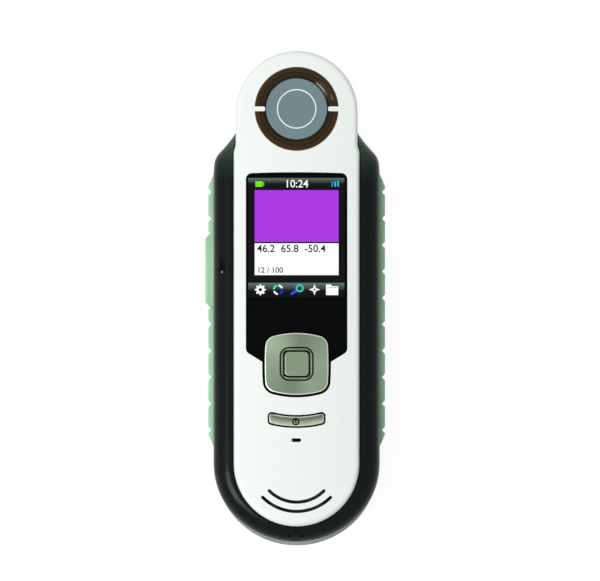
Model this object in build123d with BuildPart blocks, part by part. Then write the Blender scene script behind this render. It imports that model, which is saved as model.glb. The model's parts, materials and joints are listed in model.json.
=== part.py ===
from build123d import *
import os
from math import atan2, degrees, radians, sin, sqrt

# Handheld instrument that matches colours. It lies on its back, with the display face up.
# X runs across it, Y runs towards the round measuring head, Z points up out of the face.
# The origin is under the middle of its length, on the table. Lengths are millimetres.

# Outline, seen on the face
body_length = 165.0
head_radius = 20.33
cover_half = 21.0
frame_half = 27.75
tail_rise_inset = 1.35
tail_side_inset = 2.25
rear_inset = 0.22
neck_drop = 6.9
step_drop = 11.0
step_length = 2.4
shoulder_inset = 0.4
shoulder_drop = 15.1
shoulder_bulge = 0.3
shoulder_corner = 6.5
neck_corner = 2.0
step_corner = 3.0

# Heights above the table
foot_height = 1.5
split_height = 14.0
ledge_height = 24.0
frame_height = 29.8
face_height = 32.0
crown_radius = 150.0

# Walls and edges
rear_wall = 2.0
frame_wall = 2.2
ledge_thickness = 2.0
ledge_reach = 2.5
cover_wall = 2.0
cover_skin = 2.4
rear_edge = 4.0
frame_edge = 6.2
cover_edge = 1.5

# Clearances
seat_gap = 0.1
trim_gap = 0.3
key_gap = 0.35
pad_gap = 0.55
slide_gap = 0.15
door_gap = 0.3
screw_gap = 0.05

# Side grips and their notches
grip_proud = 1.75
grip_seat = 1.15
grip_height = 15.5
grip_base = 6.5
grip_top_y = 42.1
grip_length = 92.1
grip_taper = 4.6
grip_end_step = 0.2
grip_chamfer = 0.8
notch_pitch = 8.82
notch_count = 10
notch_depth = 1.0
notch_width = 2.2
first_notch_drop = 6.6

# Record key in the left grip
side_key_length = 24.8
side_key_y = 9.4
side_key_proud = 2.75
side_key_height = 10.5
side_key_travel = 0.6
side_key_edge = 0.8
side_key_chamfer = 1.65
side_travel_gap = 0.2
key_stem_length = 9.0
key_stem_height = 3.4
key_stem_base = 15.8
side_web = 0.3

# Target ring and disc in the head
ring_radius = 14.0
disc_radius = 10.2
ring_lift_y = 1.05
ring_depth = 4.0
ring_drop = 0.35
disc_drop = 0.6
disc_edge = 0.3
tick_width = 1.57
tick_inner = 10.5
ring_boss_wall = 2.0
ring_floor = 1.0
ring_hole = 8.0

# Display window and display
lens_half = 16.83
lens_top_y = 42.0
lens_bow = 0.35
lens_shoulder_y = -17.7
lens_tip_y = -21.4
lens_corner = 2.0
lens_thickness = 1.75
lens_drop = 0.05
active_width = 32.0
active_height = 39.7
active_y = 20.37
bezel_margin = 1.6
bezel_ledge = 0.8
window_margin = 0.15
module_width = 35.8
module_height = 50.0
module_y = 17.7
module_thickness = 2.5
module_corner = 1.0
gasket_thickness = 0.4
gasket_width = 1.2

# Thumb pad with the select key in its middle
pad_y = -21.8
pad_half_x = 10.8
pad_half_y = 10.5
pad_arc_y = 30.0
pad_arc_x = 100.0
pad_corner = 3.8
pad_edge = 0.6
pad_well = 11.4
pad_well_corner = 3.2
ring_trim_outer = 10.6
ring_trim_inner = 9.1
ring_trim_corner = 2.8
select_size = 8.2
select_corner = 1.4
select_drop = 0.3
select_edge = 0.5
select_travel = 0.4
carrier_half = 7.5
carrier_thickness = 0.6
carrier_lift = 0.55
rocker_lift = 0.45
press_gap = 0.1
pad_drop = 0.1
trim_drop = 0.35
trim_edge = 0.2

# Power key
power_width = 18.8
power_height = 3.8
power_top_y = -39.1
power_arc = 32.9
power_corner = 1.1
power_gap = 0.3
power_scoop_radius = 4.5
power_scoop_depth = 0.45
power_travel = 0.4
power_drop = 0.25
power_edge = 0.3

# Sound openings
mic_slot_y = -47.2
mic_slot_length = 3.1
mic_slot_width = 1.0
speaker_slot_width = 0.9
speaker_slot_radii = (12.9, 16.0)
speaker_slot_angle = 90.0
speaker_radius = 8.0
speaker_thickness = 4.0
speaker_drop = 10.0
speaker_rim = 1.2
speaker_edge = 0.8

# Front board, key domes and key mat
front_board_thickness = 1.2
front_board_half = 18.4
front_board_top_y = 47.5
front_board_tail_y = -55.5
dome_radius = 2.4
dome_height = 0.35
dome_pitch = 8.2
mat_thickness = 0.6
mat_width = 24.0
mic_radius = 2.0
mic_lift = 0.3

# Main board
main_board_base = 13.0
main_board_thickness = 1.2
main_board_half = 18.0
main_board_top_y = 44.0
main_board_tail_y = -70.0
tongue_half = 6.0
tongue_length = 7.5
side_switch_inset = 3.55
side_switch_length = 11.0
side_switch_thickness = 3.0
side_tab_margin = 1.0
chip_height = 1.0
chip_layout = (
    (0.0, -10.0, 9.0, 9.0),
    (-9.0, -14.0, 5.0, 6.0),
    (8.0, -44.0, 6.0, 6.0),
    (0.0, -56.0, 8.0, 5.0),
)
shield_width = 22.0
shield_length = 22.0
shield_height = 2.2
shield_sheet = 0.3
shield_y = 18.0
usb_width = 7.7
usb_height = 3.9
usb_length = 9.2
usb_sheet = 0.35
usb_depth = 7.0
usb_tongue_width = 4.8
usb_tongue_thickness = 0.9
usb_tongue_inset = 1.2
usb_inset = 0.2
usb_clearance = 0.2

# Battery and its door
battery_width = 35.0
battery_length = 58.0
battery_height = 6.0
battery_edge = 1.5
battery_tail_y = -62.5
bay_wall = 1.2
bay_gap = 0.4
contact_length = 2.6
contact_width = 1.6
contact_pitch = 3.5
contact_height = 3.0
door_thickness = 1.6
door_rest = 0.8
door_tab_width = 3.6
door_tab_length = 2.4
door_tab_thickness = 0.6
door_tab_spacing = 20.0
door_slot_height = 2.2
door_slot_gap = 0.25
door_round = 0.5
finger_radius = 5.0
finger_depth = 0.7
finger_inset = 7.0

# Optics in the head
aperture_radius = 5.0
glass_radius = 6.8
glass_thickness = 1.1
optics_radius = 13.0
optics_wall = 2.0
optics_base_wall = 2.2
optics_height = 11.4
optics_lug = 14.2
optics_lug_radius = 2.0
led_board_lift = 8.2
led_ledge = 1.0
led_board_thickness = 1.0
led_size = 1.6
led_height = 0.8
led_count = 6
led_circle = 8.0
led_board_hole = 4.6
barrel_radius = 4.3
barrel_bore = 3.7
barrel_length = 6.5
lens_bulge = 0.9
lens_rim = 0.8
sensor_size = 5.0
sensor_height = 0.9
sensor_board_thickness = 1.2

# Calibration slide under the head
channel_half = 11.0
channel_depth = 2.5
channel_roof = 1.5
channel_side = 3.0
groove_depth = 1.0
groove_height = 1.1
groove_lift = 0.75
slide_length = 23.0
slide_travel = 24.0
slide_inset = 0.3
tile_radius = 7.0
tile_thickness = 0.9
rib_count = 4
rib_pitch = 1.6
rib_width = 0.7
rib_height = 0.4
rib_length = 12.0
rib_start = 3.0

# Feet
foot_seat = 0.5
rear_foot_radius = 3.5
rear_foot_x = 11.5
rear_foot_rise = 12.5
head_foot_inner = 13.2
head_foot_outer = 16.0
head_foot_angle = 60.0

# Screws
case_screw_radius = 1.0
case_head_radius = 2.0
case_head_height = 1.2
case_boss_radius = 2.6
case_screw_reach = 20.0
case_screw_x = 21.9
case_screw_ys = (36.0, -2.0, -46.0)
neck_screw_x = 15.4
neck_screw_drop = 11.7
crown_screw_rise = 16.0
head_boss_radius = 2.3
board_screw_radius = 0.7
board_head_radius = 1.4
board_head_height = 0.8
board_boss_radius = 2.0
board_screw_length = 4.0
front_boss_x = 15.5
front_boss_ys = (45.4, -14.0, -40.0)
main_boss_x = 14.0
main_boss_ys = (38.0, 8.0, -67.0)
socket_share = 0.5

# Flat cables
flex_width = 8.0
flex_thickness = 0.2
flex_bend = 1.0
flex_lap = 4.5
flex_hang = 2.5
front_flex_y = -30.0

# Clips that hold the front cover on the frame's ledge
clip_length = 6.0
clip_thickness = 1.2
clip_drop = 2.8
clip_lip = 0.6
clip_ys = (25.0, 8.0, -28.0)

# Places that follow from the sizes above
frame_tail_side = frame_half - tail_side_inset
rear_half = frame_half - rear_inset
shoulder_half = frame_half - shoulder_inset
top_y = body_length / 2
rear_foot_y = rear_foot_rise - top_y
head_y = top_y - head_radius
tail_y = rear_half - top_y
frame_tail_rise = frame_half - tail_rise_inset
side_switch_reach = frame_half - side_switch_inset
neck_y = head_y - neck_drop
step_y = head_y - step_drop
shoulder_y = head_y - shoulder_drop
ring_y = head_y + ring_lift_y
tiny = 0.01
over = 1.0


def face_at(x):
    """Height of the crowned face at a distance x from the middle."""
    return face_height - crown_radius + sqrt(crown_radius ** 2 - x ** 2)


def crowned_block(drop):
    """All the space under the crowned face, lowered by drop."""
    reach = frame_half + grip_proud + side_key_proud
    with BuildPart() as block:
        with BuildSketch(Plane.XZ):
            with BuildLine():
                crown = ThreePointArc(
                    (-reach, face_at(reach) - drop),
                    (0, face_height - drop),
                    (reach, face_at(reach) - drop),
                )
                Polyline(crown @ 1, (reach, 0), (-reach, 0), crown @ 0)
            make_face()
        extrude(amount=body_length, both=True)
    return block.part


def close_to(shapes, axis_name, value):
    """The vertices whose X or Y lies at the value."""
    return [v for v in shapes if abs(getattr(v, axis_name) - value) < tiny]


def case_outline(half_width, tail_rise, has_head):
    """Plan of the frame or the rear housing: sloping shoulders and a tail of one or three arcs."""
    with BuildSketch() as plan:
        with BuildLine():
            if has_head:
                crown = CenterArc((0, head_y), head_radius, 90, -90)
                neck = Line(crown @ 1, (head_radius, neck_y))
                start = crown @ 0
            else:
                neck = Line((0, neck_y), (head_radius, neck_y))
                start = neck @ 0
            shoulder = SagittaArc(neck @ 1, (shoulder_half, shoulder_y), -shoulder_bulge)
            taper = Line(shoulder @ 1, (half_width, grip_top_y))
            side = Line(taper @ 1, (half_width, tail_y))
            if tail_rise < half_width:
                across = half_width - frame_tail_side
                end_radius = across ** 2 + tail_rise ** 2 - frame_tail_side ** 2
                end_radius /= 2 * (tail_rise - frame_tail_side)
                turn = degrees(atan2(end_radius - tail_rise, across))
                CenterArc((across, tail_y), frame_tail_side, 0, -turn)
                end_y = tail_y + end_radius - tail_rise
                tail = CenterArc((0, end_y), end_radius, -turn, turn - 90)
            else:
                tail = CenterArc((0, tail_y), half_width, 0, -90)
            Line(tail @ 1, start)
        make_face()
        mirror(about=Plane.YZ)
        fillet(close_to(plan.vertices(), "Y", shoulder_y), radius=shoulder_corner)
        fillet(close_to(plan.vertices(), "Y", grip_top_y), radius=2 * shoulder_corner)
        if has_head:
            fillet(close_to(plan.vertices(), "Y", neck_y), radius=neck_corner)
    return plan.sketch


def cover_outline():
    """Plan of the white front cover."""
    with BuildSketch() as plan:
        with BuildLine():
            crown = CenterArc((0, head_y), head_radius, 90, -90)
            neck = Line(crown @ 1, (head_radius, step_y))
            step = Line(neck @ 1, (cover_half, step_y - step_length))
            side = Line(step @ 1, (cover_half, tail_y))
            tail = CenterArc((0, tail_y), cover_half, 0, -90)
            Line(tail @ 1, crown @ 0)
        make_face()
        mirror(about=Plane.YZ)
        fillet(close_to(plan.vertices(), "Y", step_y), radius=step_corner)
        fillet(close_to(plan.vertices(), "Y", step_y - step_length), radius=step_corner)
    return plan.sketch


def pad_outline(grow=0.0):
    """Plan of the thumb pad: what four large circles share, with round corners."""
    with BuildSketch() as plan:
        with Locations((0, pad_y + pad_half_y - pad_arc_y)):
            Circle(pad_arc_y + grow)
        with Locations((0, pad_y - pad_half_y + pad_arc_y)):
            Circle(pad_arc_y + grow, mode=Mode.INTERSECT)
        for side in (-1, 1):
            with Locations((side * (pad_half_x - pad_arc_x), pad_y)):
                Circle(pad_arc_x + grow, mode=Mode.INTERSECT)
        corners = [v for v in plan.vertices() if abs(v.Y - pad_y) > pad_half_y / 2]
        fillet(corners, radius=pad_corner + grow)
    return plan.sketch


def lens_outline(grow=0.0):
    """Plan of the display window, cut away round the thumb pad."""
    with BuildSketch() as plan:
        with BuildLine():
            top = ThreePointArc(
                (-lens_half, lens_top_y - lens_bow), (0, lens_top_y), (lens_half, lens_top_y - lens_bow)
            )
            Polyline(
                top @ 1,
                (lens_half, lens_shoulder_y),
                (pad_half_x, lens_tip_y),
                (-pad_half_x, lens_tip_y),
                (-lens_half, lens_shoulder_y),
                top @ 0,
            )
        make_face()
        corners = close_to(plan.vertices(), "X", lens_half) + close_to(plan.vertices(), "X", -lens_half)
        fillet(corners, radius=lens_corner)
        if grow:
            offset(amount=grow)
        add(pad_outline(pad_gap - grow), mode=Mode.SUBTRACT)
    return plan.sketch


def power_outline(shrink=0.0):
    """Plan of the power key's slot: a bar bent round a centre above it."""
    centre_y = power_top_y + power_arc
    with BuildSketch() as plan:
        with Locations((0, centre_y)):
            Circle(power_arc + power_height)
            Circle(power_arc, mode=Mode.SUBTRACT)
        with Locations((0, power_top_y)):
            Rectangle(power_width, 2 * power_height + power_corner, mode=Mode.INTERSECT)
        fillet(plan.vertices(), radius=power_corner)
        if shrink:
            offset(amount=-shrink)
    return plan.sketch


def save(piece, name):
    """Label a finished piece and write it."""
    piece.label = name
    export_step(piece, os.path.join("parts", name + ".step"))


os.makedirs("parts", exist_ok=True)

frame_plan = case_outline(frame_half, frame_tail_rise, has_head=False)
rear_plan = case_outline(rear_half, rear_half, has_head=True)
cover_plan = cover_outline()

grip_outer = frame_half + grip_proud
grip_inner = frame_half - grip_seat
grip_middle_y = grip_top_y - grip_length / 2
case_screws_at = [(side * case_screw_x, y) for side in (-1, 1) for y in case_screw_ys]
neck_screws_at = [(side * neck_screw_x, head_y - neck_screw_drop) for side in (-1, 1)]
crown_screw_at = (0, head_y + crown_screw_rise)
head_screws_at = neck_screws_at + [crown_screw_at]
belly_inside = foot_height + rear_wall

# Front cover: crowned shell that reaches down to the split round the head
bezel_base = face_at(lens_half) - lens_thickness - bezel_ledge
bezel_half = lens_half + bezel_margin
lens_seat = bezel_base + bezel_ledge
ring_seat = face_height - ring_depth
front_board_base = bezel_base - gasket_thickness - module_thickness - front_board_thickness
front_board_top = front_board_base + front_board_thickness

with BuildPart() as cover_hollow:
    with BuildSketch(Plane.XY.offset(split_height)):
        add(cover_plan)
        offset(amount=-cover_wall)
    extrude(amount=face_height + over - split_height)
    add(crowned_block(cover_skin), mode=Mode.INTERSECT)

with BuildPart() as ticks:
    with BuildSketch(Plane.XY.offset(ring_seat - tiny)):
        for side in (-1, 1):
            with Locations((side * (tick_inner + ring_radius + tick_width) / 2, ring_y)):
                RectangleRounded(ring_radius + tick_width - tick_inner, tick_width, tick_width / 3)
    extrude(amount=ring_depth + over)
    add(crowned_block(0), mode=Mode.INTERSECT)

with BuildPart() as front_cover:
    with BuildSketch(Plane.XY.offset(ledge_height)):
        add(cover_plan)
    extrude(amount=face_height + over - ledge_height)
    with BuildSketch(Plane.XY.offset(split_height)):
        add(cover_plan)
        with Locations((0, neck_y)):
            Rectangle(2 * frame_half, body_length, align=(Align.CENTER, Align.MAX), mode=Mode.SUBTRACT)
    extrude(amount=ledge_height - split_height)
    add(crowned_block(0), mode=Mode.INTERSECT)
    fillet(front_cover.faces().sort_by(Axis.Z)[-1].edges(), radius=cover_edge)
    add(cover_hollow.part, mode=Mode.SUBTRACT)
    # Flat frame that carries the display window
    with BuildSketch(Plane.XY.offset(bezel_base)):
        with Locations((0, (lens_top_y + lens_shoulder_y) / 2)):
            Rectangle(2 * bezel_half, lens_top_y - lens_shoulder_y + 2 * bezel_margin)
    extrude(amount=bezel_ledge + cover_skin / 2)
    # Boss that carries the target ring
    with BuildSketch(Plane.XY.offset(ring_seat - ring_floor)):
        with Locations((0, ring_y)):
            Circle(ring_radius + ring_boss_wall)
    extrude(amount=ring_floor + ring_depth - cover_skin / 2)
    # Screw bosses in the head and board bosses along the body
    for x, y in head_screws_at:
        with BuildSketch(Plane.XY.offset(split_height)):
            with Locations((x, y)):
                Circle(head_boss_radius)
        extrude(amount=face_at(x) - cover_skin / 2 - split_height)
    with BuildSketch(Plane.XY.offset(front_board_top)):
        for y in front_boss_ys:
            with Locations((-front_boss_x, y), (front_boss_x, y)):
                Circle(board_boss_radius)
    extrude(amount=face_at(front_boss_x) - cover_skin / 2 - front_board_top)
    # Collar round the speaker
    with BuildSketch(Plane.XY.offset(face_height - cover_skin - speaker_thickness / 2)):
        with Locations((0, tail_y - speaker_drop)):
            Circle(speaker_radius + seat_gap + speaker_rim)
            Circle(speaker_radius + seat_gap, mode=Mode.SUBTRACT)
    extrude(amount=speaker_thickness / 2 + cover_skin / 3)
    # Openings for the window, the ring, the keys and the sound
    with BuildSketch(Plane.XY.offset(lens_seat)):
        add(lens_outline(seat_gap))
    extrude(amount=face_height + over - lens_seat, mode=Mode.SUBTRACT)
    with BuildSketch(Plane.XY.offset(bezel_base)):
        with Locations((0, active_y)):
            Rectangle(active_width + 2 * window_margin, active_height + 2 * window_margin)
        add(pad_outline(pad_gap))
        add(power_outline())
        with Locations((0, mic_slot_y)):
            SlotOverall(mic_slot_length, mic_slot_width)
        for radius in speaker_slot_radii:
            arc = CenterArc(
                (0, tail_y), radius, 270 - speaker_slot_angle / 2, speaker_slot_angle, mode=Mode.PRIVATE
            )
            SlotArc(arc, speaker_slot_width)
    extrude(amount=face_height + over - bezel_base, mode=Mode.SUBTRACT)
    with BuildSketch(Plane.XY.offset(ring_seat)):
        with Locations((0, ring_y)):
            Circle(ring_radius)
    extrude(amount=ring_depth + over, mode=Mode.SUBTRACT)
    with Locations((0, ring_y, ring_seat)):
        Hole(ring_hole, depth=2 * ring_floor)
    add(ticks.part)
    # Pilot holes of the screws
    for x, y in head_screws_at:
        with Locations((x, y, split_height)):
            Hole(case_screw_radius + screw_gap, depth=case_screw_reach - split_height + screw_gap)
    for y in front_boss_ys:
        with Locations((-front_boss_x, y, front_board_top), (front_boss_x, y, front_board_top)):
            Hole(
                board_screw_radius + screw_gap,
                depth=board_screw_length - front_board_thickness + screw_gap,
            )
    # Snap clips that reach through the ledge
    clip_x = cover_half - cover_wall + clip_thickness / 2
    for side in (-1, 1):
        for y in clip_ys:
            with Locations((side * clip_x, y, ledge_height + clip_thickness)):
                Box(
                    clip_thickness,
                    clip_length,
                    clip_drop + clip_thickness,
                    align=(Align.CENTER, Align.CENTER, Align.MAX),
                )
            with Locations((side * (clip_x + clip_lip / 2), y, ledge_height - clip_drop)):
                Box(
                    clip_thickness + clip_lip,
                    clip_length,
                    clip_drop - ledge_thickness - seat_gap,
                    align=(Align.CENTER, Align.CENTER, Align.MIN),
                )
save(front_cover.part, "front_cover")

# Middle frame: ring with a broad convex upper edge and an inner ledge
stem_middle = key_stem_base + key_stem_height / 2
with BuildPart() as mid_frame:
    with BuildSketch(Plane.XY.offset(split_height)):
        add(frame_plan)
    extrude(amount=frame_height - split_height)
    rim = mid_frame.faces().sort_by(Axis.Z)[-1].edges()
    neck_edge = rim.sort_by(Axis.Y)[-1]
    fillet([edge for edge in rim if edge.center().Y < neck_edge.center().Y - tiny], radius=frame_edge)
    with BuildSketch(Plane.XY.offset(split_height)):
        add(frame_plan)
        offset(amount=-frame_wall)
        with Locations((0, neck_y)):
            Rectangle(2 * (head_radius - cover_wall), 4 * frame_wall)
    extrude(amount=ledge_height - ledge_thickness - split_height, mode=Mode.SUBTRACT)
    with BuildSketch(Plane.XY.offset(split_height)):
        add(cover_plan)
        offset(amount=-ledge_reach)
    extrude(amount=ledge_height - split_height, mode=Mode.SUBTRACT)
    with BuildSketch(Plane.XY.offset(ledge_height)):
        add(cover_plan)
        offset(amount=trim_gap)
    extrude(amount=frame_height - ledge_height, mode=Mode.SUBTRACT)
    # The head's wall passes the frame down to the split
    with BuildSketch(Plane.XY.offset(split_height)):
        add(cover_plan)
        offset(amount=trim_gap)
        with Locations((0, neck_y - trim_gap)):
            Rectangle(2 * frame_half, body_length, align=(Align.CENTER, Align.MAX), mode=Mode.SUBTRACT)
    extrude(amount=frame_height - split_height, mode=Mode.SUBTRACT)
    # Screw bosses under the ledge
    with BuildSketch(Plane.XY.offset(split_height)):
        with Locations(case_screws_at):
            Circle(case_boss_radius)
    extrude(amount=ledge_height - ledge_thickness / 2 - split_height)
    for x, y in case_screws_at:
        with Locations((x, y, split_height)):
            Hole(case_screw_radius + screw_gap, depth=case_screw_reach - split_height + screw_gap)
    # Slots for the cover's clips
    for side in (-1, 1):
        for y in clip_ys:
            with Locations((side * (clip_x + seat_gap / 2), y, ledge_height)):
                Box(
                    clip_thickness + 3 * seat_gap,
                    clip_length + 2 * seat_gap,
                    2 * ledge_thickness + 2 * tiny,
                    mode=Mode.SUBTRACT,
                )
    # Grooves of the side grips, window of the record key, mouth of the socket
    for side in (-1, 1):
        with Locations((side * (grip_inner + grip_outer) / 2, grip_middle_y, grip_base)):
            Box(
                grip_outer - grip_inner,
                grip_length,
                grip_height,
                align=(Align.CENTER, Align.CENTER, Align.MIN),
                mode=Mode.SUBTRACT,
            )
    with Locations((-frame_half, side_key_y, stem_middle)):
        Box(
            4 * frame_wall,
            key_stem_length + 2 * key_gap,
            key_stem_height + 2 * key_gap,
            mode=Mode.SUBTRACT,
        )
    with Locations((0, tail_y - frame_tail_rise, main_board_base + main_board_thickness + usb_height / 2)):
        Box(
            usb_width + 2 * usb_clearance,
            3 * frame_wall,
            usb_height + 2 * usb_clearance,
            mode=Mode.SUBTRACT,
        )
save(mid_frame.part, "mid_frame")

# Rear housing: tray with the battery bay, the slide's channel and the screw bosses
bay_half = battery_width / 2 + bay_gap
bay_tail_y = battery_tail_y - bay_gap
battery_head_y = battery_tail_y + battery_length
bay_head_y = battery_head_y + contact_length + bay_gap
door_top = foot_height + door_thickness
battery_base = door_top + 2 * seat_gap
bay_roof = battery_base + battery_height + bay_gap
door_half = bay_half + door_rest
door_tail_y = bay_tail_y - door_rest
door_head_y = bay_head_y + door_rest
channel_top = foot_height + channel_depth
channel_tail_y = head_y - slide_length / 2 - slide_travel - door_gap
channel_head_y = head_y + slide_length / 2 + door_gap
main_board_top = main_board_base + main_board_thickness
tab_base = door_top - door_tab_thickness
groove_base = foot_height + groove_lift
rear_feet_at = [(side * rear_foot_x, rear_foot_y) for side in (-1, 1)]
main_screws_at = [(side * main_boss_x, y) for side in (-1, 1) for y in main_boss_ys]
front_screws_at = [(side * front_boss_x, y) for side in (-1, 1) for y in front_boss_ys]
case_seat = foot_height + case_head_height + seat_gap


def block(x, y, z):
    """Box between two X, two Y and two Z values, added to the part in hand."""
    with Locations((sum(x) / 2, sum(y) / 2, sum(z) / 2)):
        Box(x[1] - x[0], y[1] - y[0], z[1] - z[0])


def pocket(x, y, z):
    """Box between two X, two Y and two Z values, cut from the part in hand."""
    with Locations((sum(x) / 2, sum(y) / 2, sum(z) / 2)):
        Box(x[1] - x[0], y[1] - y[0], z[1] - z[0], mode=Mode.SUBTRACT)


def head_foot_sketch():
    """Plan of the two curved pads beside the aperture."""
    with BuildSketch() as plan:
        with Locations((0, head_y)):
            Circle(head_foot_outer)
            Circle(head_foot_inner, mode=Mode.SUBTRACT)
            Rectangle(
                2 * head_foot_outer,
                2 * head_foot_inner * sin(radians(head_foot_angle / 2)),
                mode=Mode.INTERSECT,
            )
    return plan.sketch


with BuildPart() as rear_housing:
    with BuildSketch(Plane.XY.offset(foot_height)):
        add(rear_plan)
    extrude(amount=split_height - foot_height)
    fillet(rear_housing.faces().sort_by(Axis.Z)[0].edges(), radius=rear_edge)
    with BuildSketch(Plane.XY.offset(belly_inside)):
        add(rear_plan)
        offset(amount=-rear_wall)
    extrude(amount=split_height + over - belly_inside, mode=Mode.SUBTRACT)
    # Block that holds the slide's channel
    block(
        (-channel_half - channel_side, channel_half + channel_side),
        (channel_tail_y - channel_roof, channel_head_y + channel_roof),
        (belly_inside - tiny, channel_top + channel_roof),
    )
    # Battery bay
    block(
        (-bay_half - bay_wall, bay_half + bay_wall),
        (bay_tail_y - bay_wall, bay_head_y + bay_wall),
        (belly_inside - tiny, bay_roof + bay_wall),
    )
    # Bosses of the case screws, the head screws and the main board
    with BuildSketch(Plane.XY.offset(belly_inside - tiny)):
        with Locations(case_screws_at):
            Circle(case_boss_radius)
        with Locations(head_screws_at):
            Circle(head_boss_radius)
    extrude(amount=split_height + tiny - belly_inside)
    with BuildSketch(Plane.XY.offset(belly_inside - tiny)):
        with Locations(main_screws_at):
            Circle(board_boss_radius)
    extrude(amount=main_board_base + tiny - belly_inside)
    pocket(
        (-channel_half, channel_half),
        (channel_tail_y, channel_head_y),
        (foot_height - over, channel_top),
    )
    pocket(
        (-channel_half - groove_depth, channel_half + groove_depth),
        (channel_tail_y, channel_head_y),
        (groove_base, groove_base + groove_height),
    )
    with Locations((0, head_y, channel_top + channel_roof)):
        Hole(aperture_radius, depth=channel_roof + tiny)
    pocket((-bay_half, bay_half), (bay_tail_y, bay_head_y), (foot_height - over, bay_roof))
    pocket((-door_half, door_half), (door_tail_y, door_head_y), (foot_height - over, door_top + seat_gap))
    for side in (-1, 1):
        middle = side * door_tab_spacing / 2
        reach = door_tab_width / 2 + door_slot_gap
        pocket(
            (middle - reach, middle + reach),
            (door_head_y - 3 * door_slot_gap, door_head_y + door_tab_length + 2 * door_slot_gap),
            (tab_base - door_slot_gap, tab_base + door_slot_height),
        )
    for x, y in case_screws_at + head_screws_at:
        with Locations(Plane((x, y, foot_height), z_dir=(0, 0, -1))):
            CounterBoreHole(
                case_screw_radius + screw_gap,
                case_head_radius + 4 * screw_gap,
                case_seat - foot_height,
                depth=split_height,
            )
    for x, y in main_screws_at:
        with Locations((x, y, main_board_base)):
            Hole(board_screw_radius + screw_gap, depth=board_screw_length - main_board_thickness + screw_gap)
    # Grooves of the side grips and seats of the feet
    for side in (-1, 1):
        with Locations((side * (grip_inner + grip_outer) / 2, grip_middle_y, grip_base)):
            Box(
                grip_outer - grip_inner,
                grip_length,
                grip_height,
                align=(Align.CENTER, Align.CENTER, Align.MIN),
                mode=Mode.SUBTRACT,
            )
    with BuildSketch(Plane.XY.offset(foot_height)):
        with Locations(rear_feet_at):
            Circle(rear_foot_radius)
        add(head_foot_sketch())
    extrude(amount=foot_seat, mode=Mode.SUBTRACT)
save(rear_housing.part, "rear_housing")

# Rubber feet, the case's only contact with the table
with BuildPart() as rear_feet:
    with BuildSketch():
        with Locations(rear_feet_at):
            Circle(rear_foot_radius)
    extrude(amount=foot_height + foot_seat)
    chamfer(rear_feet.faces().group_by(Axis.Z)[0].edges(), length=foot_seat)
save(rear_feet.part, "rear_feet")

with BuildPart() as head_feet:
    with BuildSketch():
        add(head_foot_sketch())
    extrude(amount=foot_height + foot_seat)
save(head_feet.part, "head_feet")

# Side grips, with the left one open for the record key
land = grip_inner + side_web
grip_edge_y = grip_top_y - grip_length


def grip_points():
    """Plan of the right grip: tapered ends and V notches at an even pitch."""
    points = [
        (grip_inner + seat_gap, grip_top_y - seat_gap),
        (frame_half - grip_end_step, grip_top_y - seat_gap),
        (grip_outer, grip_top_y - grip_taper),
    ]
    for i in range(notch_count):
        y = grip_top_y - first_notch_drop - i * notch_pitch
        points += [
            (grip_outer, y + notch_width / 2),
            (grip_outer - notch_depth, y),
            (grip_outer, y - notch_width / 2),
        ]
    points += [
        (grip_outer, grip_edge_y + grip_taper),
        (frame_half - grip_end_step, grip_edge_y + seat_gap),
        (grip_inner + seat_gap, grip_edge_y + seat_gap),
    ]
    return points


with BuildPart() as side_grip_right:
    with BuildSketch(Plane.XY.offset(grip_base + seat_gap)):
        with BuildLine():
            Polyline(grip_points(), close=True)
        make_face()
    extrude(amount=grip_height - 2 * seat_gap)
    with BuildSketch(Plane.XZ) as grip_profile:
        with Locations(((grip_inner + grip_outer) / 2, grip_base + grip_height / 2)):
            Rectangle(grip_outer - grip_inner, grip_height - 2 * seat_gap)
        chamfer(grip_profile.vertices().group_by(Axis.X)[-1], length=grip_chamfer)
    extrude(amount=body_length, both=True, mode=Mode.INTERSECT)
save(side_grip_right.part, "side_grip_right")

key_ends = (side_key_y - side_key_length / 2, side_key_y + side_key_length / 2)
key_middle_z = grip_base + grip_height / 2
with BuildPart() as side_grip_left:
    mirror(side_grip_right.part, about=Plane.YZ)
    pocket(
        (-grip_outer - over, -land),
        (key_ends[0] - key_gap, key_ends[1] + key_gap),
        (grip_base, grip_base + grip_height),
    )
    with Locations((-frame_half, side_key_y, stem_middle)):
        Box(
            4 * frame_wall,
            key_stem_length + 2 * key_gap,
            key_stem_height + 2 * key_gap,
            mode=Mode.SUBTRACT,
        )
save(side_grip_left.part, "side_grip_left")

# Record key: chamfered cap outside, stem through the grip and the frame
key_back = land + side_key_travel + side_travel_gap
key_front = frame_half + side_key_proud
with BuildPart() as side_key:
    with BuildSketch(Plane.XY.offset(key_middle_z - side_key_height / 2)) as key_plan:
        with Locations((-(key_back + key_front) / 2, side_key_y)):
            Rectangle(key_front - key_back, side_key_length)
        chamfer(key_plan.vertices().group_by(Axis.X)[0], length=side_key_chamfer)
    extrude(amount=side_key_height)
    outer_face = side_key.faces().sort_by(Axis.X)[0]
    fillet(outer_face.edges().filter_by(Axis.Y), radius=side_key_edge)
    block(
        (-key_back - tiny, -side_switch_reach - side_key_travel - side_travel_gap),
        (side_key_y - key_stem_length / 2, side_key_y + key_stem_length / 2),
        (key_stem_base, key_stem_base + key_stem_height),
    )
save(side_key.part, "side_key")

# Smoked ring in two halves between the ticks, and the disc inside it
with BuildPart() as target_ring:
    with BuildSketch(Plane.XY.offset(ring_seat)):
        with Locations((0, ring_y)):
            Circle(ring_radius - seat_gap)
            Circle(disc_radius + seat_gap, mode=Mode.SUBTRACT)
            Rectangle(3 * ring_radius, tick_width + 2 * seat_gap, mode=Mode.SUBTRACT)
    extrude(amount=ring_depth + over)
    add(crowned_block(ring_drop), mode=Mode.INTERSECT)
save(target_ring.part, "target_ring")

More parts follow.
